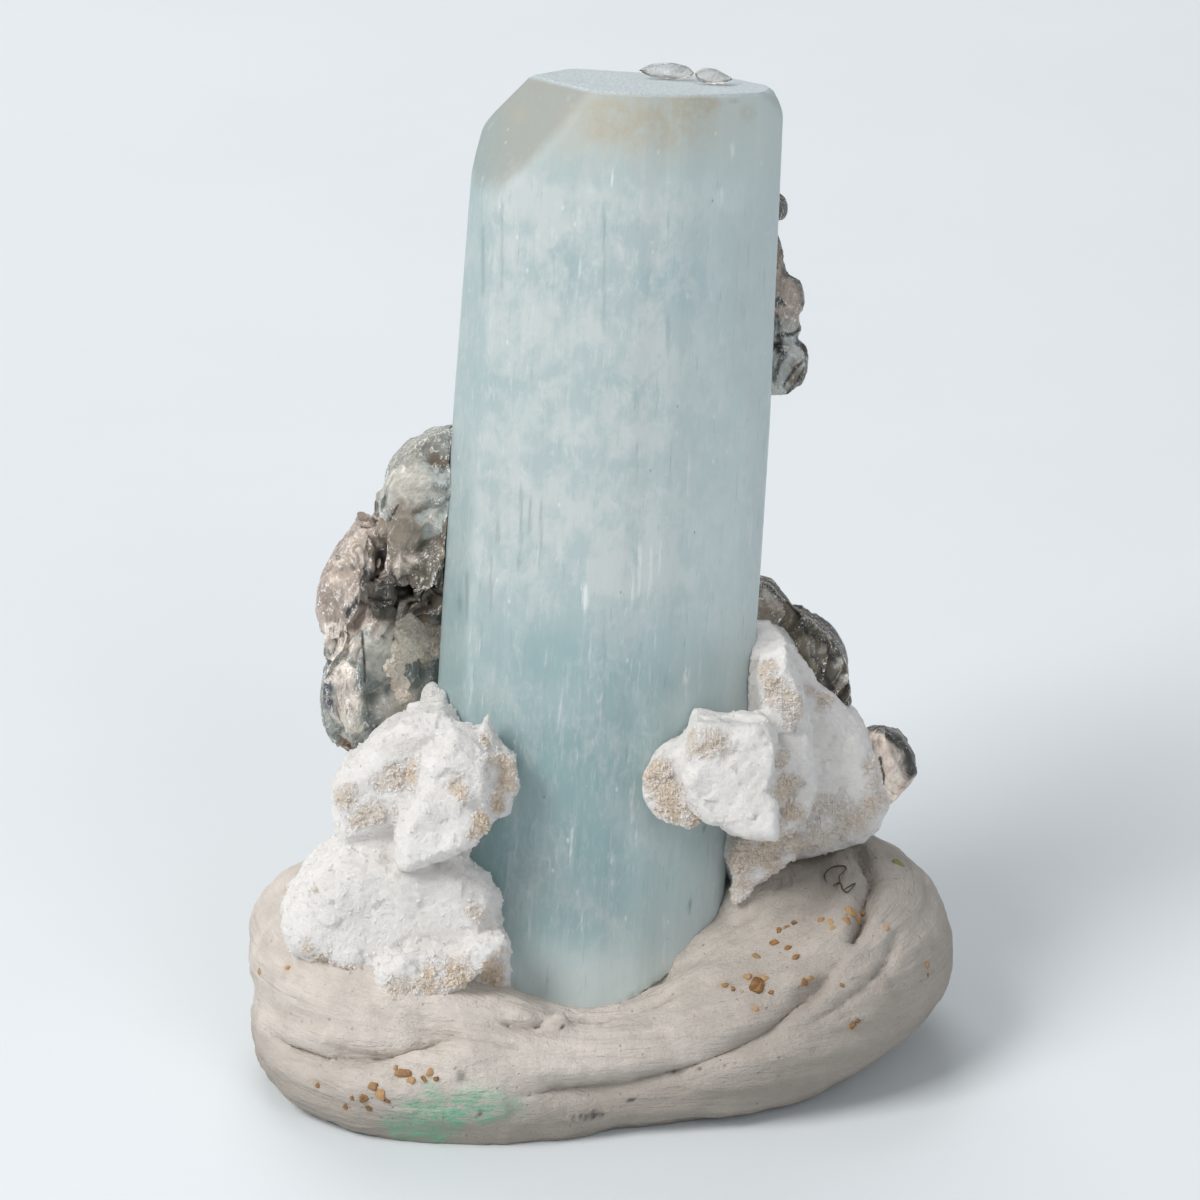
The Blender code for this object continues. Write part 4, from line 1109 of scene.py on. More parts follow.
GRAINS = 6000  # on each lump
BLOCK_VOXEL = 0.3
TAN_SPOTS_LEFT = [
    (342, 798, 15, 0.8), (350, 788, 9, 0.7), (412, 772, 14, 0.9), (395, 778, 14, 0.7), (382, 782, 10, 0.5),
    (362, 820, 14, 0.6), (382, 816, 14, 0.7), (458, 790, 10, 1.0), (463, 800, 9, 0.9), (485, 740, 10, 0.9),
    (484, 715, 8, 1.0), (492, 760, 12, 0.9), (505, 765, 16, 1.0), (508, 785, 16, 1.0), (496, 805, 14, 1.2),
    (484, 825, 14, 1.3), (474, 834, 8, 1.2), (479, 912, 11, 0.6), (492, 962, 16, 1.4), (496, 980, 12, 1.4),
    (316, 890, 3, 1.2), (325, 960, 16, 0.9), (345, 970, 14, 0.8), (308, 950, 10, 0.7), (430, 982, 18, 1.0),
    (460, 975, 20, 1.1), (488, 972, 18, 1.2), (400, 990, 16, 0.7), (375, 985, 12, 0.5),
]
TAN_SPOTS_RIGHT = [
    (764, 668, 14, 1.0), (770, 684, 10, 0.9), (824, 700, 13, 0.6), (784, 760, 12, 0.7), (782, 785, 14, 0.9),
    (870, 806, 16, 0.7), (856, 822, 16, 0.7), (655, 768, 20, 0.95), (665, 790, 16, 0.8), (650, 780, 14, 0.9),
    (675, 808, 24, 1.0), (695, 820, 16, 1.0), (715, 742, 18, 0.6), (700, 748, 16, 0.6), (690, 740, 12, 0.5),
    (766, 668, 12, 1.0), (772, 690, 16, 0.5), (790, 700, 16, 0.55), (800, 715, 14, 0.5), (785, 790, 18, 0.9),
    (790, 812, 18, 0.9), (780, 825, 16, 1.0), (812, 690, 10, 0.5), (824, 702, 14, 0.6), (745, 842, 26, 0.8),
    (770, 848, 22, 0.8), (735, 870, 22, 0.6), (790, 838, 20, 0.8), (850, 825, 22, 0.5), (868, 812, 18, 0.5),
    (820, 842, 20, 0.5), (880, 798, 12, 0.5), (740, 852, 30, 0.9), (765, 852, 30, 0.9), (800, 846, 22, 0.8),
    (735, 884, 18, 0.7), (871, 766, 12, 0.4), (822, 806, 17, 0.4), (846, 812, 20, 0.4), (876, 786, 14, 0.4),
    (792, 722, 14, 0.3),
]
GREY_SPOTS_LEFT = [
    (398, 745, 22, 0.8), (440, 745, 20, 0.3), (440, 820, 24, 0.5), (455, 815, 20, 0.6), (395, 890, 30, 0.6),
    (440, 905, 40, 0.5), (360, 930, 40, 0.35), (500, 740, 20, 0.3),
]
GREY_SPOTS_RIGHT = [
    (782, 640, 22, 0.6), (760, 735, 26, 0.5), (735, 820, 30, 0.4), (790, 650, 20, 0.5), (822, 802, 15, 1.0),
    (812, 816, 13, 1.0), (820, 784, 10, 0.7), (832, 745, 12, 0.35), (762, 797, 24, 0.8), (744, 762, 20, 0.5),
    (838, 764, 9, 0.4),
]


def albite_material(settings, name, subsurface, painted_lift=0.0):
    """White, sugary feldspar with tan crusts, painted shade in its hollows, and painted light that lifts the whole
    colour where that share is given.
    """
    material, nodes = new_material(
        name, 0.62, Specular_IOR_Level=0.4, Subsurface_Weight=subsurface, Subsurface_Scale=0.8 * MM,
        Subsurface_Radius=(1.0, 0.95, 0.9),
    )
    between, times, fused, attribute = nodes.between, nodes.times, nodes.fused, nodes.attribute
    place = millimetre_place(nodes)
    grain = nodes.group(mineral_grain(), place, 0.8, 5.0)
    fine = nodes.group(mineral_grain(), place, 2.6, 11.0)
    sugar = nodes.noise(place, 4.0, 4.0, 0.75, 0.5)
    cloud = nodes.noise(place, 0.28, 5.0, 0.6)
    hollow, crust = attribute("hollow"), attribute("tan")
    # painted shade in the hollows, with a little of the mottle
    low = nodes.math("ADD", hollow, times(grain["Mottle"], 0.12))
    # the brown pits of the crust, darker where it lies in a hollow: partly their own colour, partly painted shade
    pits = fused(crust, hollow, times(crust, between(sugar, 0.46, 0.34, 0.0, 0.5)), clamp=True)
    body = nodes.painted(
        settings.white,
        (between(cloud, 0.44, 0.66, 0.0, 0.3), settings.shade),
        (times(low, 0.6, clamp=True), settings.shade),
        (times(attribute("grey"), 0.75), settings.shade),
        (times(crust, between(fine["Relief"], 0.5, 0.9, 0.5, 1.1), clamp=True), settings.tan),
        (pits, (0.42, 0.29, 0.19)),
        # painted light that lifts the colour of pieces lying in shade
        (painted_lift, (1.0, 0.93, 0.80)),
    )
    nodes.plug(
        Base_Color=body, Roughness=between(fine["Relief"], 0.5, 1.0, 0.5, 0.8),
        Normal=nodes.bump(fused(sugar, 1.5, fine["Relief"]), 0.8, 0.18 * MM),
    )
    return material


def block(bm, outline, front, back, bevel):
    """One blocky crystal: its outline stands at full size between two bevelled borders."""
    centre = sum((Vector(point) for point in outline), Vector((0.0, 0.0))) / len(outline)
    reach = sum((Vector(point) - centre).length for point in outline) / len(outline)
    shrink = 1 - bevel / reach
    loops = []
    for y, scale in [(front, shrink), (front + bevel, 1.0), (back - bevel, 1.0), (back, shrink)]:
        ring = [centre + (Vector(point) - centre) * scale for point in outline]
        loops.append([bm.verts.new((x, y, z)) for x, z in ring])
    for lower, upper in zip(loops, loops[1:]):
        for i in range(len(lower)):
            j = (i + 1) % len(lower)
            bm.faces.new((lower[i], lower[j], upper[j], upper[i]))
    bm.faces.new(loops[0][::-1])
    bm.faces.new(loops[-1])


class SPECIMEN_OT_albite(bpy.types.Operator):
    """Builds the two lumps of albite: blocks grown together, cut into faces and covered in grain"""

    bl_idname = "specimen.albite"
    bl_label = "Albite lumps"

    def execute(self, context):
        settings = context.scene.specimen_albite
        material = albite_material(settings, "albite_mass", 0.4)
        grit = albite_material(settings, "albite_grit", 0.0)
        crystal, grain = settings.crystal_size / MM, settings.grain_size / MM
        for node, blocks, tan, grey, seed, mesh_step in (
            ("albite_left", ALBITE_LEFT_BLOCKS, TAN_SPOTS_LEFT, GREY_SPOTS_LEFT, 1, 0.17),
            ("albite_right", ALBITE_RIGHT_BLOCKS, TAN_SPOTS_RIGHT, GREY_SPOTS_RIGHT, 2, 0.186),
        ):
            bm = bmesh.new()
            for one in blocks:
                block(bm, *one)
            obj = object_from_bmesh(f"{node}_lump", bm, specimen_matrix())
            voxel_remesh(obj, BLOCK_VOXEL)
            roughen(obj.data, height=0.22, wavelength=2.0, seed=seed)
            cut_clear(obj, crystal_cutter())
            cut_faces(obj.data, crystal * 1.3, strength=0.5, tilt=0.08, seed=seed)
            voxel_remesh(obj, mesh_step)
            mesh = obj.data
            roughen(mesh, height=0.07, wavelength=1.4, seed=seed + 6, puffy=True)
            cut_faces(mesh, crystal * 0.45, strength=0.5, tilt=0.16, seed=seed + 10)
            cut_faces(mesh, grain * 2.2, strength=0.4, tilt=0.4, seed=seed + 20)
            roughen(mesh, height=0.085, wavelength=0.55, seed=seed + 8, octaves=4)
            points, tree = points_of(mesh), tree_of(obj)
            ragged = rough_values(points, 1.2, seed, 4) * 0.6
            crust = spots(points, tree, tan, ragged)
            # the hollow mask carries painted shade into the hollows
            store(mesh, tan=crust, grey=spots(points, tree, grey, ragged),
                  hollow=np.maximum(hollows(mesh, 6, 0.16), hollows(mesh, 40, 0.7)))
            finish_piece(obj, node, material, sharp=28)
            self.sugar(mesh, crust, node, grit, settings, seed)
        return {"FINISHED"}

    def sugar(self, mesh, crust, node, material, settings, seed):
        """Covers the crusts of a lump in small blocky grains."""
        chosen = scattered_over(crust**2 + 1e-4, GRAINS, seed)
        dice = np.random.default_rng(seed)
        sizes = settings.grain_size * dice.uniform(0.4, 1.1, GRAINS) * (1.0 + 0.4 * crust[chosen])
        outward = normals_of(mesh)[chosen]
        places = points_of(mesh)[chosen] - outward * sizes[:, None] * 0.15
        grains = scatter(f"{node}_grains", places, outward, sizes, chip_mesh(seed, 0.0), material, Tilt=0.9,
                         Flatness=0.8, Seed=seed)
        store(grains.data, tan=for_copies(grains, crust[chosen] * dice.uniform(0.5, 1.0, GRAINS)))
        finish_piece(grains, None, material, sharp=30)


# ---------------------------------------------------------------- mica


MICA_TINTS = {
    "grey": (0.25, 0.26, 0.24), "pale": (0.42, 0.45, 0.43), "brown": (0.2, 0.16, 0.12), "rose": (0.36, 0.29, 0.25),
    "dark": (0.07, 0.06, 0.045), "teal": (0.19, 0.22, 0.21), "cream": (0.7, 0.58, 0.48), "beige": (0.95, 0.92, 0.88),
    "pit": (0.021, 0.016, 0.008), "soot": (0.055, 0.043, 0.035), "bronze": (0.097, 0.086, 0.053),
    "steel": (0.079, 0.084, 0.106), "bark": (0.14, 0.108, 0.075), "walnut": (0.176, 0.147, 0.106),
    "umber": (0.228, 0.191, 0.144), "rust": (0.3, 0.22, 0.14), "slate": (0.278, 0.271, 0.229),
    "dusk": (0.4, 0.331, 0.28), "ash": (0.39, 0.38, 0.342), "clay": (0.48, 0.4, 0.329), "silver": (0.51, 0.49, 0.43),
    "linen": (0.64, 0.58, 0.52), "sand": (0.74, 0.6, 0.46), "shell": (0.98, 0.82, 0.71),
}
# Tinted patches on each cluster: column, row, reach and strength in the front view, and the tint.
MICA_PATCHES = {
    "mica_left_cluster": [
        (418, 445, 30, 1.2, "slate"), (438, 462, 15, 1.3, "bark"), (406, 484, 30, 1.3, "silver"),
        (372, 488, 13, 1.2, "umber"), (404, 530, 27, 1.3, "umber"), (432, 518, 13, 1.2, "silver"),
        (425, 550, 16, 1.2, "bronze"), (342, 528, 22, 1.2, "clay"), (334, 562, 26, 1.2, "clay"),
        (348, 592, 20, 1.1, "dusk"), (366, 546, 13, 1.2, "walnut"), (384, 564, 9, 1.3, "soot"),
        (372, 580, 9, 1.3, "soot"), (360, 596, 9, 1.3, "soot"), (348, 612, 8, 1.2, "soot"),
        (405, 564, 16, 1.3, "clay"), (390, 598, 26, 1.6, "pit"), (376, 610, 16, 1.5, "pit"),
        (428, 588, 30, 1.3, "bronze"), (382, 652, 34, 1.4, "silver"), (374, 628, 14, 1.2, "linen"),
        (340, 646, 24, 1.4, "linen"), (330, 636, 16, 1.4, "linen"), (340, 676, 20, 1.4, "linen"),
        (347, 704, 24, 1.4, "linen"), (352, 728, 16, 1.3, "silver"), (380, 668, 15, 1.4, "ash"),
        (328, 690, 9, 1.5, "steel"), (327, 704, 9, 1.5, "steel"), (415, 640, 27, 1.5, "sand"),
        (414, 641, 5, 1.4, "rust"), (394, 668, 9, 1.4, "sand"), (401, 690, 8, 1.4, "sand"),
        (400, 712, 34, 1.2, "silver"), (350, 742, 20, 1.3, "sand"), (340, 734, 3, 1.2, "soot"),
    ],
    "mica_upper_right_cluster": [
        (786, 205, 14, 1.3, "soot"), (784, 250, 18, 1.3, "walnut"), (782, 262, 5, 1.3, "clay"),
        (790, 295, 18, 1.3, "clay"), (779, 303, 7, 1.3, "bark"), (789, 326, 12, 1.3, "ash"),
        (800, 378, 24, 1.4, "walnut"), (789, 348, 7, 1.3, "ash"), (802, 362, 8, 1.2, "ash"),
        (793, 378, 6, 1.2, "ash"),
    ],
    "mica_lower_right_cluster": [
        (768, 594, 10, 1.3, "ash"), (775, 590, 12, 1.2, "slate"), (776, 606, 7, 1.2, "dusk"),
        (806, 644, 44, 1.4, "bronze"), (790, 622, 9, 1.2, "walnut"), (806, 624, 8, 1.2, "bronze"),
        (805, 645, 11, 1.2, "umber"), (815, 665, 9, 1.2, "umber"), (826, 650, 8, 1.1, "slate"),
        (838, 662, 8, 1.3, "ash"), (846, 680, 8, 1.3, "ash"), (840, 690, 8, 1.3, "dusk"), (852, 702, 8, 1.3, "umber"),
        (838, 638, 6, 1.3, "bronze"), (850, 655, 5, 1.3, "bronze"), (820, 684, 9, 1.2, "umber"),
    ],
    "mica_right_tip": [
        (884, 774, 40, 1.5, "shell"), (866, 752, 6, 1.2, "linen"),
    ],
}
MICA_FLAKES = 130  # on the left cluster
SMOOTH_FACES = [(406, 484, 34, 1.6), (384, 656, 40, 1.6), (404, 716, 34, 1.6), (408, 532, 24, 1.4)]
MICA_STREAKS = {
    "mica_left_cluster": [(336, 632, 18, 1.2), (334, 655, 22, 1.3), (332, 682, 20, 1.3), (340, 706, 20, 1.2),
                          (350, 668, 14, 1.0), (346, 730, 12, 0.7)],
    "mica_lower_right_cluster": [(840, 660, 13, 1.2), (842, 682, 13, 1.2), (850, 704, 10, 1.0), (828, 662, 9, 0.8)],
    "mica_right_tip": [(896, 748, 9, 0.9), (906, 764, 9, 0.9)],
}
# Dark seams between the books: places along each seam in the front view, and its half width.
MICA_SEAMS = {
    "mica_upper_right_cluster": [
        ([(797, 273), (805, 284), (809, 297), (804, 310)], 3.5), ([(806, 326), (793, 334), (778, 336)], 3.0),
        ([(797, 337), (808, 350), (814, 358), (808, 373), (797, 391), (786, 397)], 3.5),
        ([(777, 345), (783, 356), (778, 371)], 6.0), ([(786, 388), (798, 368), (805, 360)], 2.5),
        ([(783, 236), (790, 250), (793, 268)], 3.0), ([(788, 190), (791, 206), (786, 220)], 3.5),
        ([(780, 300), (786, 306)], 4.0),
    ],
    "mica_lower_right_cluster": [
        ([(782, 583), (806, 590), (836, 606), (854, 632), (858, 660), (862, 716)], 4.5),
        ([(797, 612), (806, 632), (826, 642), (836, 662)], 3.0), ([(812, 655), (828, 680), (842, 704)], 3.0),
        ([(764, 582), (784, 602)], 2.5),
    ],
    "mica_right_tip": [
        ([(868, 727), (884, 728), (900, 737)], 6.0), ([(897, 737), (910, 750), (917, 768)], 12.0),
        ([(880, 758), (884, 776), (882, 790)], 1.8),
    ],
    "mica_left_cluster": [
        ([(384, 546), (364, 586), (346, 616)], 5.0), ([(398, 505), (390, 520)], 1.6),
        ([(362, 632), (366, 684)], 1.8),
    ],
}
RIM_WAY = np.array((0.62, 0.20, 0.76))  # rims that face this way are painted darker, by this much: painted shade on the rims turned from the light, with the dark edges of the books
DARK_AND_SHADED_RIMS = {"mica_upper_right_cluster": 0.85, "mica_lower_right_cluster": 0.6, "mica_right_tip": 0.5}
TERRACES = {"mica_left_cluster": 0.9, "mica_upper_right_cluster": 0.5, "mica_lower_right_cluster": 0.45,
            "mica_right_tip": 0.4}  # height of all the steps together
GLASSY_GRAINS = [(441, 470, 6), (330, 548, 6), (372, 520, 5), (404, 560, 5), (352, 566, 5)]
MICA_CRUST = [
    (412, 632, 17), (424, 646, 15), (405, 650, 13), (394, 668, 9), (399, 684, 8), (403, 696, 6), (436, 640, 14),
]
BOOK_VOXEL, FLAKE_VOXEL = 0.15, 0.1
SEAM_TINT, RIM_DARK_AND_SHADE_TINT = np.array((0.015, 0.012, 0.009)), np.array((0.035, 0.03, 0.026))
# the dark cavity on the left cluster: dented, and painted dark, partly its own colour and partly painted shade
DARK_CAVITIES = [(388, 597, 22, 1.0), (404, 598, 12, 1.0), (374, 612, 11, 0.9), (430, 596, 14, 0.8)]
TERRACE_STEPS = 8.0
LAYER_GAP = 20.0  # between the sheets of one book and those of the next, in the attribute layer
SHEET_CORNERS = 22
SHEET_RINGS = (0.35, 0.7, 0.94, 1.0)


def sheet_mesh(name, seed, corners=SHEET_CORNERS, rings=SHEET_RINGS, ragged=0.05):
    """One sheet of unit reach and unit thickness, with a ragged outline and a rounded rim."""
    dice = random.Random(seed)
    outline = [
        (math.cos(angle) * reach, math.sin(angle) * reach)
        for angle, reach in (
            (math.tau * i / corners, 1.0 + 0.07 * math.sin(3 * math.tau * i / corners + seed)
             + dice.uniform(-ragged, ragged)) for i in range(corners)
        )
    ]
    levels = [(share, -0.5) for share in rings[:-1]] + [(rings[-1], 0.0)]
    levels += [(share, 0.5) for share in rings[-2::-1]]
    points = [(x * share, y * share, z) for share, z in levels for x, y in outline]
    points += [(0.0, 0.0, -0.5), (0.0, 0.0, 0.5)]
    return mesh_from(name, points, ring_faces(len(levels), corners))


@node_group("mica_book", "GeometryNodeTree", {"Geometry": "Geometry", "Sheets": 10, "Rise": 0.4, "Reach": 5.0,
                                              "Dome": 0.3, "Seed": 0, "Material": "Material"}, {"Geometry": "Geometry"})
def book_tree(nodes, given):
    """Stacks copies of a sheet into a book, each turned, slipped and sized a little differently."""
    rise, reach = given["Rise"], given["Reach"]
    line = nodes.add("GeometryNodeMeshLine", {"Count": given["Sheets"], "Offset": nodes.vector(z=rise)}).outputs[0]
    index = nodes.add("GeometryNodeInputIndex").outputs[0]
    last = nodes.math("SUBTRACT", given["Sheets"], 1.0)
    from_middle = nodes.math("SUBTRACT", nodes.math("DIVIDE", index, last), 0.5)
    square = nodes.times(from_middle, from_middle)
    dome = nodes.math("SUBTRACT", 1.0, nodes.times(square, nodes.times(given["Dome"], 4.0)))

    def random_value(low, high, shift):
        inputs = {2: low, 3: high, "Seed": nodes.math("ADD", given["Seed"], shift)}
        return nodes.add("FunctionNodeRandomValue", inputs, data_type="FLOAT").outputs[1]

    size = nodes.times(nodes.times(dome, reach), random_value(0.84, 1.06, 1))
    thick = nodes.times(rise, random_value(0.75, 1.3, 2))
    slip = nodes.times(reach, 0.07)
    shift = nodes.vector(
        nodes.times(slip, random_value(-1.0, 1.0, 3)), nodes.times(slip, random_value(-1.0, 1.0, 4)),
        nodes.times(nodes.times(rise, last), -0.5),
    )
    sheets = nodes.add("GeometryNodeInstanceOnPoints", {
        "Points": nodes.add("GeometryNodeSetPosition", {"Geometry": line, "Offset": shift}).outputs[0],
        "Instance": given["Geometry"], "Rotation": nodes.vector(z=random_value(0.0, math.tau, 5)),
        "Scale": nodes.vector(size, size, thick),
    }).outputs[0]
    return realized(nodes, sheets, given["Material"])


def keep_inside(points, outline, front, back):
    """Moves points that lie outside an outline, seen from the front, to its nearest edge."""
    corners = np.array(outline)
    flat = points[:, [0, 2]]
    inside = np.zeros(len(flat), dtype=bool)
    best = np.full(len(flat), np.inf)
    nearest = flat.copy()
    for start, end in zip(corners, np.roll(corners, -1, axis=0)):
        edge, offset = end - start, flat - start
        crosses = (start[1] > flat[:, 1]) != (end[1] > flat[:, 1])
        with np.errstate(divide="ignore", invalid="ignore"):
            where = start[0] + offset[:, 1] * edge[0] / edge[1]
        inside ^= crosses & (flat[:, 0] < where)
        along = np.clip((offset @ edge) / (edge @ edge), 0.0, 1.0)
        foot = start + along[:, None] * edge
        distance = np.linalg.norm(flat - foot, axis=1)
        closer = distance < best
        best = np.where(closer, distance, best)
        nearest[closer] = foot[closer]
    result = points.copy()
    result[:, [0, 2]] = np.where(inside[:, None], flat, nearest)
    result[:, 1] = np.clip(result[:, 1], front, back)
    return result


def mica_material(settings, name, transmission, rough):
    """Books of mica: tinted sheets with a pearly coat, fine lines where their edges show, painted shade in their
    hollows and painted glints on their ridges.
    """
    material, nodes = new_material(
        name, 0.3, Coat_Weight=settings.lustre, Coat_Roughness=0.18, Specular_IOR_Level=0.5, IOR=1.58,
        Transmission_Weight=transmission,
    )
    between, times, fused, attribute = nodes.between, nodes.times, nodes.fused, nodes.attribute
    place = millimetre_place(nodes)
    grain = nodes.group(mineral_grain(), place, 1.1, 6.0)
    edges = nodes.add("ShaderNodeTexNoise", {"W": attribute("layer"), "Scale": 6.5, "Detail": 5.0, "Roughness": 0.75},
                      noise_dimensions="1D").outputs["Fac"]
    flecks = nodes.noise(place, 2.2, 5.0, 0.75, 1.0)
    grooves = nodes.noise(nodes.scaled(place, (4.6, 4.6, 0.4)), 1.0, 4.0, 0.75)
    sparks = nodes.noise(place, 4.0, 4.0, 0.75, 1.5, rise=0.5)
    sheets = times(nodes.noise(place, 0.7, 5.0, 0.62, 2.5, rise=0.6), 11.0)
    brink = nodes.math("FRACT", sheets)
    side, streaky, tint = attribute("edge"), attribute("streaky"), attribute("tint", "Color")
    uneven = fused(attribute("smooth"), -0.8, 1.0)
    # painted glints: white flecks on the ridges, fewer on the smooth faces
    painted_glints = times(times(attribute("ridge"), between(sparks, 0.51, 0.58)), uneven)
    pale = nodes.mix(0.14, nodes.scaled(tint, (1.8, 1.75, 1.7)), (0.66, 0.60, 0.54))
    dark = nodes.mix(0.6, tint, (0.03, 0.025, 0.02))
    body = nodes.painted(
        tint,
        (times(grain["Mottle"], 0.18), pale),
        (between(flecks, 0.56, 0.70, 0.0, 0.3), dark),
        (times(between(brink, 0.0, 0.16, 0.65, 0.0), uneven), dark),
        (times(between(brink, 0.7, 1.0, 0.0, 0.45), uneven), pale),
        (times(between(grooves, 0.52, 0.60), streaky), dark),
        (times(between(grooves, 0.46, 0.38, 0.0, 0.6), streaky), pale),
        (times(side, 0.8), nodes.mix(between(edges, 0.36, 0.5), dark, pale)),
        # painted shade in the hollows and the dark cavity
        (times(attribute("hollow"), 0.9), (0.035, 0.028, 0.016)),
        (times(painted_glints, 0.95, clamp=True), (0.96, 0.95, 0.93)),
    )
    height = fused(edges, side, times(grain["Relief"], 0.4))
    height = fused(nodes.math("FLOOR", sheets), 0.35, height)
    nodes.plug(
        Base_Color=body, Roughness=between(grain["Relief"], 0.4, 1.0, rough, rough * 2.2),
        Normal=nodes.bump(height, 0.6, 0.16 * MM),
    )
    return material


class SPECIMEN_OT_mica(bpy.types.Operator):
    """Builds each cluster of mica: books of stacked sheets, grown into one another"""

    bl_idname = "specimen.mica"
    bl_label = "Mica books"

    def execute(self, context):
        settings = context.scene.specimen_mica
        dense = mica_material(settings, "mica", 0.0, 0.24)
        clear = mica_material(settings, "clear_mica", 0.95, 0.06)
        stand = specimen_matrix()
        for seed, (node, (outline, front, back, books)) in enumerate(MICA_CLUSTERS.items(), 21):
            material = clear if node.startswith("mica_top") else dense
            bm = bmesh.new()
            for number, (centre, normal, reach, thickness, _) in enumerate(books):
                sheets = max(4, round(thickness / (settings.sheet / MM)))
                part = new_object("book", sheet_mesh("book", seed + number))
                grow_nodes(part, book_tree(), Sheets=sheets, Rise=thickness / sheets, Reach=reach, Dome=0.28,
                           Seed=seed * 10 + number, Material=material)
                turned = Vector(normal).normalized().to_track_quat("Z", "Y").to_matrix().to_4x4()
                points = place_points(points_of(part.data), Matrix.Translation(Vector(centre)) @ turned)
                move_points(part.data, keep_inside(points, outline, front, back))
                bm.from_mesh(part.data)
                bpy.data.objects.remove(part)
            obj = object_from_bmesh(f"{node}_books", bm, stand)
            voxel_remesh(obj, FLAKE_VOXEL if len(books) == 1 else BOOK_VOXEL)
            cut_clear(obj, crystal_cutter())
            points = points_of(obj.data)
            beside = tree_of(crystal_cutter())
            free = [beside.find_nearest(point, 0.4 * MM)[0] is None for point in points.tolist()]
            rounded = smoothed(obj.data, points, 7)
            move_points(obj.data, np.where(np.array(free)[:, None], rounded, points))
            if node == "mica_left_cluster":
                ragged = rough_values(points_of(obj.data), 1.0, seed, 3) * 0.4
                dents = spots(points_of(obj.data), tree_of(obj), DARK_CAVITIES, ragged)
                move_points(obj.data, points_of(obj.data) - normals_of(obj.data) * dents[:, None] * 1.6 * MM)
            axes = self.dress(obj, node, books, seed)
            finish_piece(obj, node, material, sharp=45)
            if node == "mica_left_cluster":
                self.loose_sheets(obj, node, axes, material, seed)
        self.grains(clear)
        return {"FINISHED"}

    def dress(self, obj, node, books, seed):
        """Works out which book each point belongs to, and from it the tint and the place in the stack.

        The rims of the sheets are stepped along the way. Returns the direction of each point's book.
        """
        mesh = obj.data
        points = points_of(mesh)
        local = place_points(points, specimen_matrix().inverted())
        facing = normals_of(mesh) @ np.array(specimen_matrix().inverted().to_3x3().normalized()).T
        stand = specimen_matrix().to_3x3().normalized()
        found, tints, axes = [], [], []
        for number, (centre, normal, reach, thickness, name) in enumerate(books):
            axis = np.array(Vector(normal).normalized())
            offset = local - np.array(centre)
            height = offset @ axis
            up = np.abs(height) / thickness * 2
            out = np.linalg.norm(offset - height[:, None] * axis, axis=1) / reach
            found.append((np.maximum(up, out), height + number * LAYER_GAP, out - up, 1.0 - np.abs(facing @ axis)))
            tints.append(MICA_TINTS[name])
            axes.append(stand @ Vector(axis))
        found = np.array(found)
        book = found[:, 0].argmin(axis=0)
        layer, edge, facing_rim = found[book, 1:, np.arange(len(points))].T
        tint, axes = np.array(tints)[book], np.array(axes)[book]
        edge = np.clip(edge * 4.0 + 0.3, 0.0, 1.0) * np.clip(facing_rim * 2.2 - 0.2, 0.0, 1.0)
        outward = smoothed(mesh, normals_of(mesh), 8)
        steps = np.array([noise.noise((value * 1.7, seed, 0.0)) for value in layer.tolist()])
        steps = np.round(np.clip(steps, -0.6, 0.6) * 4) / 4
        points = points + outward * ((steps - 0.6) * 0.26 * edge * MM)[:, None]
        rise = (rough_values(points, 3.6, seed + 5, 3) + 0.7) * TERRACE_STEPS
        level = np.floor(rise)
        brink = rise - level
        smooth = spots(points, tree_of(obj), SMOOTH_FACES if node == "mica_left_cluster" else (), 0.0)
        tall = TERRACES.get(node, 0.0) * (1.0 - 0.7 * np.minimum(smooth, 1.0))
        drop = (level + np.clip(brink * 6 - 5, 0.0, 1.0)) / TERRACE_STEPS - 0.9
        move_points(mesh, points + outward * (np.minimum(drop, 0.0) * tall * MM)[:, None])
        ragged = rough_values(points, 0.9, seed + 3, 4) * 0.35
        tree = tree_of(obj)
        for column, row, reach, strength, paint in MICA_PATCHES.get(node, ()):
            mask = spots(points, tree, [(column, row, reach, strength)], ragged)[:, None]
            tint += (np.array(MICA_TINTS[paint]) - tint) * np.clip(mask, 0.0, 1.0)
        tint += (SEAM_TINT - tint) * seam_mask(points, MICA_SEAMS.get(node, ()), ragged)[:, None]
        # painted shade on the rims turned from the light, also standing for the dark edges of the books
        shaded = np.clip((facing @ RIM_WAY - 0.55) * 4.0, 0.0, 1.0) * DARK_AND_SHADED_RIMS.get(node, 0.0)
        tint += (RIM_DARK_AND_SHADE_TINT - tint) * shaded[:, None]
        variety = 1.0 + 0.3 * rough_values(points, 1.6, seed, 4) + 0.12 * np.sin(level * 2.4)
        variety = variety - 0.35 * np.clip(1.0 - brink * 5, 0.0, 1.0) * (node in TERRACES)
        cavity = spots(points, tree, DARK_CAVITIES if node == "mica_left_cluster" else (), ragged)
        streaks = spots(points, tree, MICA_STREAKS.get(node, ()), ragged)
        store(mesh, layer=layer, edge=edge)
        store_colour(mesh, "tint", np.clip(tint * variety[:, None], 0.0, 1.0))
        # hollow: painted shade in the recesses, with the dark cavity
        store(
            mesh,
            hollow=np.maximum.reduce([hollows(mesh, 8, 0.2), hollows(mesh, 50, 0.9), np.minimum(cavity, 1.0)]),
            ridge=hollows(mesh, 5, -0.03), smooth=np.minimum(smooth, 1.0), streaky=np.minimum(streaks, 1.0),
        )
        return axes

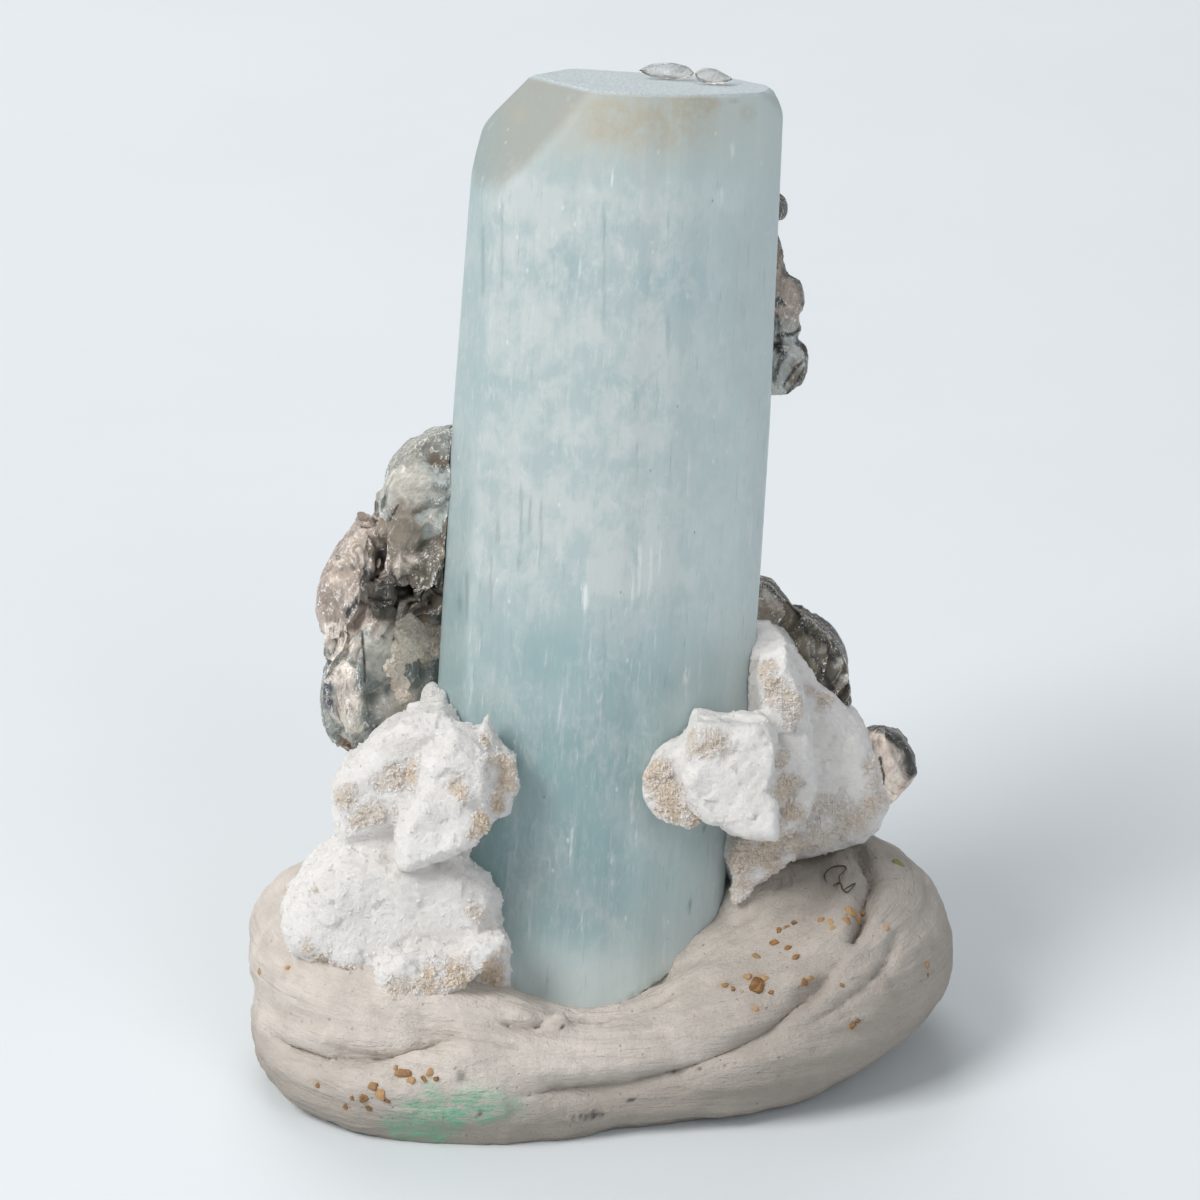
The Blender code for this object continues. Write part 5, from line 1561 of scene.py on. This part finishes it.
    def loose_sheets(self, cluster, node, axes, material, seed):
        """Thin sheets that stand a little off the books, in the direction of the book that they belong to."""
        mesh = cluster.data
        outline, front, back, _ = MICA_CLUSTERS[node]
        stand = specimen_matrix()
        bare = spots(points_of(mesh), tree_of(cluster), DARK_CAVITIES + SMOOTH_FACES, 0.0)
        local = place_points(points_of(mesh), stand.inverted())
        middle = np.mean(outline, axis=0)
        inner = [tuple(middle + (np.array(corner) - middle) * 0.88) for corner in outline]
        within = np.all(keep_inside(local, inner, front, back) == local, axis=1)
        chosen = scattered_over(within * (1.0 - np.minimum(bare, 1.0)), MICA_FLAKES, seed)
        dice = np.random.default_rng(seed)
        sizes = dice.uniform(0.3, 1.0, MICA_FLAKES) * MM
        places = points_of(mesh)[chosen] - normals_of(mesh)[chosen] * sizes[:, None] * 0.55
        shape = sheet_mesh("flake", seed, 9, (0.9, 1.0), 0.16)
        flakes = scatter(f"{node}_sheets", places, axes[chosen], sizes, shape, material, Tilt=0.15, Flatness=0.1,
                         Seed=seed)
        local = keep_inside(place_points(points_of(flakes.data), stand.inverted()), outline, front, back)
        move_points(flakes.data, place_points(local, stand))
        tint = values_of(mesh.attributes["tint"].data, "color", 4)[chosen, :3]
        tint = np.clip(tint * dice.uniform(0.75, 1.35, MICA_FLAKES)[:, None], 0.0, 1.0)
        store_colour(flakes.data, "tint", for_copies(flakes, tint))
        store(flakes.data, layer=for_copies(flakes, dice.uniform(0.0, 50.0, MICA_FLAKES)))
        finish_piece(flakes, None, material, sharp=30)

    def grains(self, clear):
        """A few glassy grains, and the tan grains of the crust on the left cluster."""
        cluster = bpy.data.objects["mica_left_cluster_books"]
        tree = tree_of(cluster)
        dice = np.random.default_rng(4)
        glassy = zip(*(front_hit(tree, column, row) for column, row, _ in GLASSY_GRAINS))
        sizes = np.array([width for _, _, width in GLASSY_GRAINS]) * VIEW_POINT * MM
        obj = scatter("mica_glassy_grains", *glassy, sizes, chip_mesh(7, 0.22), clear, Tilt=0.4, Flatness=0.9, Seed=2)
        store_colour(obj.data, "tint", np.full((len(obj.data.vertices), 3), 0.98))
        finish_piece(obj, None, clear, sharp=30)
        crust = []
        for column, row, reach in MICA_CRUST:
            for angle, out in dice.uniform((0.0, 0.0), (math.tau, 1.0), (reach * 26, 2)):
                out = reach * math.sqrt(out)
                crust.append(front_hit(tree, column + out * math.cos(angle), row + out * math.sin(angle)))
        sizes = dice.uniform(0.1, 0.42, len(crust)) * MM
        # the crust lies in shade, so its colour is lifted by painted light
        albite = albite_material(bpy.context.scene.specimen_albite, "albite_crust", 0.0, 0.45)
        obj = scatter("mica_crust", *zip(*crust), sizes, chip_mesh(8, 0.0), albite, Tilt=0.9, Flatness=0.8, Seed=6)
        store(obj.data, tan=for_copies(obj, dice.uniform(0.3, 1.0, len(crust))))
        finish_piece(obj, None, albite, sharp=30)


# ---------------------------------------------------------------- putty


PUTTY_CREASES = [  # places along each crease in the front view, half width, depth
    ([(500, 1101), (571, 1092), (629, 1088), (679, 1072), (732, 1051), (766, 1032), (796, 1004), (819, 983),
      (842, 954), (853, 945)], 0.9, 1.7),
    ([(262, 1026), (268, 1035), (280, 1047), (314, 1057), (345, 1054), (387, 1049), (429, 1039), (470, 1034)],
     0.8, 2.3),
    ([(852, 838), (864, 859), (872, 873), (864, 894), (864, 909), (857, 929), (851, 946)], 0.5, 2.0),
    ([(841, 842), (850, 860), (859, 874), (851, 894), (850, 910), (845, 929), (840, 942)], 0.7, -0.8),
    ([(898, 930), (890, 960), (868, 985), (840, 1006), (800, 1030)], 0.5, 0.7),
    ([(505, 1022), (530, 1026), (548, 1022)], 0.3, 0.8),
    ([(579, 1020), (600, 1019), (640, 1010), (680, 992)], 0.3, 0.8),
    ([(675, 1088), (696, 1078), (730, 1062)], 0.3, 0.6),
    ([(385, 1080), (410, 1073), (430, 1066)], 0.4, 0.5),
    ([(508, 1017), (530, 1020), (550, 1024)], 0.22, -0.7),
    ([(556, 1024), (564, 1025)], 0.4, -1.3),
    ([(570, 1020), (586, 1013), (610, 1010), (632, 1004)], 0.2, -0.5),
]
GREEN_SPOTS = [
    (430, 1116, 34, 0.8), (455, 1112, 30, 1.0), (405, 1130, 22, 0.8), (480, 1108, 26, 0.8), (505, 1106, 22, 0.5),
    (390, 1122, 16, 0.6), (440, 1128, 26, 0.9), (520, 1112, 12, 0.3),
]
CRUMBS = [  # column, row and width of each crumb in the front view
    (260, 972, 7), (364, 1098, 15), (373, 1086, 9), (380, 1094, 11), (403, 1073, 14), (411, 1080, 8), (396, 1068, 7),
    (430, 1072, 8), (424, 1079, 7), (436, 1079, 6), (346, 1107, 8), (352, 1098, 6), (757, 985, 15), (747, 977, 9),
    (765, 979, 8), (725, 985, 9), (733, 989, 6), (757, 957, 8), (779, 931, 8), (786, 927, 6), (794, 923, 8),
    (821, 920, 7), (830, 922, 8), (833, 928, 7), (851, 912, 13), (858, 920, 11), (847, 921, 8), (862, 913, 7),
    (886, 928, 7), (774, 943, 8), (788, 948, 8), (796, 957, 7), (805, 982, 10), (811, 978, 6), (853, 1026, 9),
    (858, 1021, 5), (771, 992, 6), (742, 992, 5), (387, 1101, 6), (369, 1108, 6), (318, 1085, 6), (842, 985, 5),
    (927, 965, 6), (928, 975, 5), (756, 1009, 6), (288, 968, 5), (899, 864, 12),
]
PUTTY_VOXEL = 0.3
CRUMB_SHARE = 0.88  # of a crumb's width, for the block that stands for it
HAIR_RADIUS = 0.055
HAIR = [
    (827, 884), (825, 877), (834, 869), (844, 867), (846, 871), (841, 878), (840, 883), (835, 887), (842, 885),
    (843, 890), (848, 894), (854, 885), (844, 891),
]
# small cracks and dents in the putty, shown as dark spots of painted shade: column, row, reach, strength
CRACK_SHADE_SPOTS = [
    (561, 1027, 2.5, 1.2), (536, 1028, 3, 0.6), (600, 1024, 4, 0.4), (480, 1113, 3, 0.8), (700, 1068, 3, 0.8),
    (573, 1118, 4, 0.9), (580, 1116, 4, 0.9), (587, 1117, 3, 0.8), (594, 1115, 4, 0.9), (603, 1115, 4, 0.9),
    (668, 1073, 3, 0.9), (674, 1071, 3, 0.9), (680, 1072, 3, 0.8), (631, 1100, 3, 0.9), (461, 1077, 5, 0.5),
    (650, 1026, 6, 0.25), (656, 1034, 6, 0.25),
]
RUST_SPOTS = [
    (260, 972, 5, 1.2), (288, 968, 10, 0.4), (318, 1085, 9, 0.4), (725, 985, 8, 0.5), (757, 978, 12, 0.8),
    (853, 1026, 7, 1.2), (756, 1009, 7, 0.9), (927, 965, 4, 1.2), (774, 943, 6, 0.7), (788, 948, 6, 0.7),
    (796, 957, 5, 0.7), (805, 982, 8, 0.7), (346, 1107, 5, 0.6), (430, 1075, 5, 0.6),
]


def tube(bm, line, samples, sides):
    """A roll of putty along a smooth curve through the points of its centre line, with round ends."""
    count = len(line) - 1
    knots = [line[0]] + list(line) + [line[-1]]
    path = []
    for s in range(samples + 1):
        whole, t = divmod(s * count / samples, 1.0)
        if whole >= count:
            whole, t = count - 1, 1.0
        a, b, c, d = (Vector(knots[int(whole) + k]) for k in range(4))
        path.append(0.5 * ((2 * b) + (c - a) * t + (2 * a - 5 * b + 4 * c - d) * t**2 + (3 * b - a - 3 * c + d) * t**3))
    points = []
    for s, knot in enumerate(path):
        before, after = path[max(0, s - 1)], path[min(samples, s + 1)]
        heading = Vector((after - before)[:3]).normalized()
        side = heading.cross(Vector((0, 0, 1))).normalized()
        up = side.cross(heading)
        end = min(s, samples - s) / samples * 40
        radius = knot[3] * min(1.0, 0.35 + 0.3 * end)
        points += [
            Vector(knot[:3]) + side * radius * math.cos(a) + up * radius * math.sin(a)
            for a in (math.tau * k / sides for k in range(sides))
        ]
    points += [Vector(path[0][:3]), Vector(path[-1][:3])]
    verts = [bm.verts.new(point) for point in points]
    for face in ring_faces(samples + 1, sides):
        bm.faces.new([verts[i] for i in face])


def fold_places(points):
    """Where each point lies on the ring of putty: along it, out from its middle, and up, in millimetres."""
    x, y, z = (points / MM).T
    wide = x / PUTTY_STRETCH
    out = np.maximum(np.hypot(wide, y), 1e-6)
    return np.stack([np.arccos(np.clip(wide / out, -1.0, 1.0)) * 20.0, out, z], axis=1)


def press_crease(mesh, tree, places, half_width, depth):
    """Presses a crease into a skin along a line of the front view; with a negative depth it raises a ridge."""
    line = []
    for start, end in zip(places, places[1:]):
        steps = max(2, math.ceil(math.dist(start, end) / 4))
        for i in range(steps):
            column, row = (a + (b - a) * i / steps for a, b in zip(start, end))
            line.append(front_hit(tree, column, row)[0])
    finder = nearest_finder(line)
    found = [finder.find(point) for point in points_of(mesh).tolist()]
    near = np.array([item[2] for item in found]) / MM
    order = np.array([item[1] for item in found])
    fade = np.clip(np.minimum(order + 1, len(line) - order) / len(line) * 6, 0.0, 1.0)
    raise_points(mesh, -depth * np.exp(-near / half_width) * fade * MM)


def putty_material(settings):
    """Matt modelling putty: warm grey, with painted shade in its creases and hollows, towards the bottom and on the
    right, and with specks and a brushed green stain.
    """
    material, nodes = new_material("putty", 0.82, Specular_IOR_Level=0.3)
    between, times, fused, attribute = nodes.between, nodes.times, nodes.fused, nodes.attribute
    place = millimetre_place(nodes)
    across, _, up = nodes.add("ShaderNodeSeparateXYZ", {0: place}).outputs
    grain = nodes.group(mineral_grain(), place, 0.35, 2.4)
    fine = nodes.group(mineral_grain(), place, 1.8, 9.0)
    roll = attribute("roll", "Vector")
    drawn = nodes.noise(nodes.scaled(roll, (0.10, 0.8, 0.8)), 1.0, 6.0, 0.7, 0.3)
    ridges = nodes.noise(nodes.scaled(roll, (0.14, 2.6, 2.6)), 1.0, 3.0, 0.6, 0.2)
    brushed = nodes.noise(nodes.scaled(roll, (0.7, 3.0, 3.0)), 1.0, 6.0, 0.75, 0.6)
    # painted shade on the right side, less of it higher up
    right = times(between(across, -3.0, 17.0, 0.0, 0.8), between(up, 13.0, 8.0, 0.6, 1.0))
    specks = [
        (times(nodes.group(speckles(), place, scale, size, some)["Mask"], strength), (0.12, 0.09, 0.07))
        for scale, size, some, strength in ((0.7, 0.07, 0.6, 0.9), (1.5, 0.09, 0.5, 1.0), (3.0, 0.16, 0.2, 0.5))
    ]
    body = nodes.painted(
        settings.pale,
        (times(grain["Mottle"], 0.35), settings.shade),
        # painted shade in the creases and hollows
        (times(attribute("hollow"), 0.75), settings.shade),
        (times(between(drawn, 0.5, 0.72), 0.35), (0.68, 0.64, 0.60)),
        (times(between(drawn, 0.48, 0.28), 0.3), settings.shade),
        (nodes.math("ADD", between(up, 6.5, 1.5), right, clamp=True), settings.shade),  # painted shade towards the bottom and on the right
        (times(attribute("green"), between(brushed, 0.36, 0.62)), settings.green),
        (times(attribute("rust"), 0.5), (0.46, 0.28, 0.12)),
        *specks,
        # painted shade in small cracks and dents
        (attribute("crack"), (0.05, 0.045, 0.04)),
    )
    pits = nodes.group(speckles(), place, 1.3, 0.2, 0.3)["Mask"]
    height = fused(pits, -0.35, fused(fine["Relief"], 0.4, fused(ridges, 0.5, drawn)))
    nodes.plug(
        Base_Color=body, Roughness=between(fine["Relief"], 0.4, 1.0, 0.7, 0.9),
        Normal=nodes.bump(height, 0.85, 0.55 * MM),
    )
    return material


class SPECIMEN_OT_putty(bpy.types.Operator):
    """Builds the folded lump of putty, with its creases, stains and specks"""

    bl_idname = "specimen.putty"
    bl_label = "Putty lump"

    def execute(self, context):
        settings = context.scene.specimen_putty
        bm = bmesh.new()
        for fold in (LOWER_FOLD, UPPER_FOLD):
            tube(bm, fold, samples=120, sides=40)
        for centre, reach in (PUTTY_MIDDLE, PUTTY_SOLE, *PUTTY_SHOULDERS):
            matrix = Matrix.Translation(Vector(centre)) @ Matrix.Diagonal((*reach, 1.0))
            bmesh.ops.create_uvsphere(bm, u_segments=96, v_segments=48, radius=1.0, matrix=matrix)
        obj = object_from_bmesh("putty_lump", bm, Matrix.Scale(MM, 4))
        voxel_remesh(obj, PUTTY_VOXEL)
        mesh = obj.data
        move_points(mesh, smoothed(mesh, points_of(mesh), 14))
        tree = tree_of(obj)
        for crease in PUTTY_CREASES:
            press_crease(mesh, tree, *crease)
        roughen(mesh, height=0.4, wavelength=9.0, seed=5, octaves=2)
        roughen(mesh, height=0.1, wavelength=1.8, seed=6, octaves=4)
        drawn_out = fold_places(points_of(mesh)) * (0.12, 1.0, 1.0)
        raise_points(mesh, rough_values(drawn_out * MM, 1.5, 12, 4) * 0.28 * MM)
        low, high = (np.array(corner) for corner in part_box("putty_base"))
        move_points(mesh, np.clip(points_of(mesh), low, high))
        cut_clear(obj, crystal_cutter())
        mesh = obj.data
        points, tree = points_of(mesh), tree_of(obj)
        ragged = rough_values(points, 1.6, 8, 4) * 0.5
        # the hollow mask carries painted shade into the creases and hollows
        store(
            mesh,
            green=spots(points, tree, GREEN_SPOTS, ragged), crack=spots(points, tree, CRACK_SHADE_SPOTS, ragged * 1.5),
            rust=spots(points, tree, RUST_SPOTS, ragged),
            hollow=np.maximum(hollows(mesh, 10, 0.3), hollows(mesh, 60, 1.2)),
        )
        store_vectors(mesh, "roll", fold_places(points))
        finish_piece(obj, "putty_base", putty_material(settings))
        self.crumbs(tree, settings)
        self.hair(tree)
        return {"FINISHED"}

    def crumbs(self, tree, settings):
        """Gritty crumbs pressed into the putty."""
        material, nodes = new_material("grit", 0.55)
        grain = nodes.group(mineral_grain(), millimetre_place(nodes), 1.6, 6.0)
        body = nodes.painted(
            settings.crumb,
            (grain["Mottle"], darker(settings.crumb, 0.45)),
            (nodes.attribute("pale"), (0.56, 0.36, 0.18)),
            (nodes.attribute("olive"), (0.26, 0.27, 0.10)),
        )
        nodes.plug(Base_Color=body, Normal=nodes.bump(grain["Relief"], 0.7, 0.2 * MM))
        hits = [front_hit(tree, column, row) for column, row, _ in CRUMBS]
        sizes = np.array([width for _, _, width in CRUMBS]) * VIEW_POINT * MM * CRUMB_SHARE
        places = [point - normal * size * 0.05 for (point, normal), size in zip(hits, sizes)]
        obj = scatter("putty_crumbs", places, [normal for _, normal in hits], sizes, chip_mesh(5, 0.2), material,
                      Tilt=0.6, Flatness=0.75, Seed=3)
        pale = np.random.default_rng(9).uniform(0.0, 1.0, len(CRUMBS)) ** 3
        last = np.arange(len(CRUMBS)) == len(CRUMBS) - 1
        store(obj.data, pale=for_copies(obj, pale), olive=for_copies(obj, last))
        finish_piece(obj, None, material, sharp=30)

    def hair(self, tree):
        """A loop of fine hair stuck to the putty."""
        material, nodes = new_material("hair", 0.5)
        grain = nodes.group(mineral_grain(), millimetre_place(nodes), 1.0, 4.0)
        nodes.plug(Base_Color=nodes.mix(grain["Mottle"], (0.05, 0.04, 0.035), (0.12, 0.09, 0.07)))
        line = []
        for step, (column, row) in enumerate(HAIR):
            point, normal = front_hit(tree, column, row)
            line.append((*((point + normal * (0.12 + 0.05 * (step % 3)) * MM) / MM), HAIR_RADIUS))
        bm = bmesh.new()
        tube(bm, line, samples=120, sides=6)
        finish_piece(object_from_bmesh("putty_hair", bm, Matrix.Scale(MM, 4)), None, material)


# ---------------------------------------------------------------- stage


class SPECIMEN_OT_stage(bpy.types.Operator):
    """Sets the pale floor, the soft lights and the camera"""

    bl_idname = "specimen.stage"
    bl_label = "Stage"

    def execute(self, context):
        settings = context.scene.specimen_stage
        bm = bmesh.new()
        bmesh.ops.create_grid(bm, x_segments=4, y_segments=4, size=3.0)
        floor = new_object("floor", mesh_from_bmesh("floor", bm))
        material, nodes = new_material("floor_paper", 0.9, Specular_IOR_Level=0.2)
        grain = nodes.group(mineral_grain(), millimetre_place(nodes), 0.02, 0.4)
        nodes.plug(Base_Color=nodes.mix(grain["Mottle"], settings.floor, darker(settings.floor, 0.985)))
        floor.data.materials.append(material)
        floor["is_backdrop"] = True
        world = bpy.data.worlds.new("soft_room")
        world.use_nodes = True
        background = world.node_tree.nodes["Background"]
        background.inputs["Color"].default_value = (0.93, 0.96, 1.0, 1.0)
        background.inputs["Strength"].default_value = 0.34
        context.scene.world = world
        lights = (  # name, place in metres, power, size in metres, colour
            ("key_light", (-0.54, -0.33, 0.64), settings.key_power, 0.42, (1.0, 0.985, 0.96)),
            ("fill_light", (0.45, -0.72, 0.55), settings.key_power * 0.30, 0.50, (0.94, 0.97, 1.0)),
            ("rim_light", (-0.10, 0.55, 0.55), settings.key_power * 0.30, 0.40, (1.0, 1.0, 1.0)),
        )
        for name, place, power, size, tint in lights:
            lamp = bpy.data.lights.new(name, "AREA")
            lamp.energy = power
            lamp.size = size
            lamp.color = tint
            obj = new_object(name, lamp)
            obj.location = place
            aim = Vector((0.0, 0.0, 0.03)) - Vector(place)
            obj.rotation_euler = aim.to_track_quat("-Z", "Y").to_euler()
        camera = bpy.data.cameras.new("front_view")
        camera.lens = LENS
        camera.sensor_width = SENSOR
        camera.clip_start = 0.01
        obj = new_object("front_view", camera)
        obj.location, _ = view_ray(VIEW_MIDDLE, VIEW_MIDDLE)
        obj.rotation_euler = (math.radians(90.0) - VIEW_TILT, 0.0, 0.0)
        context.scene.camera = obj
        context.scene.view_settings.view_transform = "Standard"
        return {"FINISHED"}


OPERATORS = (
    SPECIMEN_OT_stage,
    SPECIMEN_OT_crystal,
    SPECIMEN_OT_albite,
    SPECIMEN_OT_mica,
    SPECIMEN_OT_putty,
)


class SPECIMEN_PT_panel(bpy.types.Panel):
    """Lists the pieces of the specimen and their settings"""

    bl_idname = "SPECIMEN_PT_panel"
    bl_label = "Aquamarine specimen"
    bl_space_type = "VIEW_3D"
    bl_region_type = "UI"
    bl_category = "Specimen"

    def draw(self, context):
        for operator in OPERATORS:
            self.layout.operator(operator.bl_idname)
        for name, group in SETTINGS.items():
            box = self.layout.box()
            box.label(text=name.replace("_", " ").capitalize())
            for key in group.__annotations__:
                box.prop(getattr(context.scene, name), key)


def register():
    for name, group in SETTINGS.items():
        bpy.utils.register_class(group)
        setattr(bpy.types.Scene, name, bpy.props.PointerProperty(type=group))
    for item in (*OPERATORS, SPECIMEN_PT_panel):
        bpy.utils.register_class(item)


def unregister():
    for item in (SPECIMEN_PT_panel, *reversed(OPERATORS)):
        bpy.utils.unregister_class(item)
    for name, group in SETTINGS.items():
        delattr(bpy.types.Scene, name)
        bpy.utils.unregister_class(group)


def main():
    register()
    for operator in OPERATORS:
        family, action = operator.bl_idname.split(".")
        getattr(getattr(bpy.ops, family), action)()
    bpy.data.objects.remove(bpy.data.objects["crystal_clearance"])
    boxes = {"cad": cad_box, "visual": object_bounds()}
    {key: [list(corner) for corner in box] for key, box in boxes.items()}


if __name__ == "__main__":
    main()
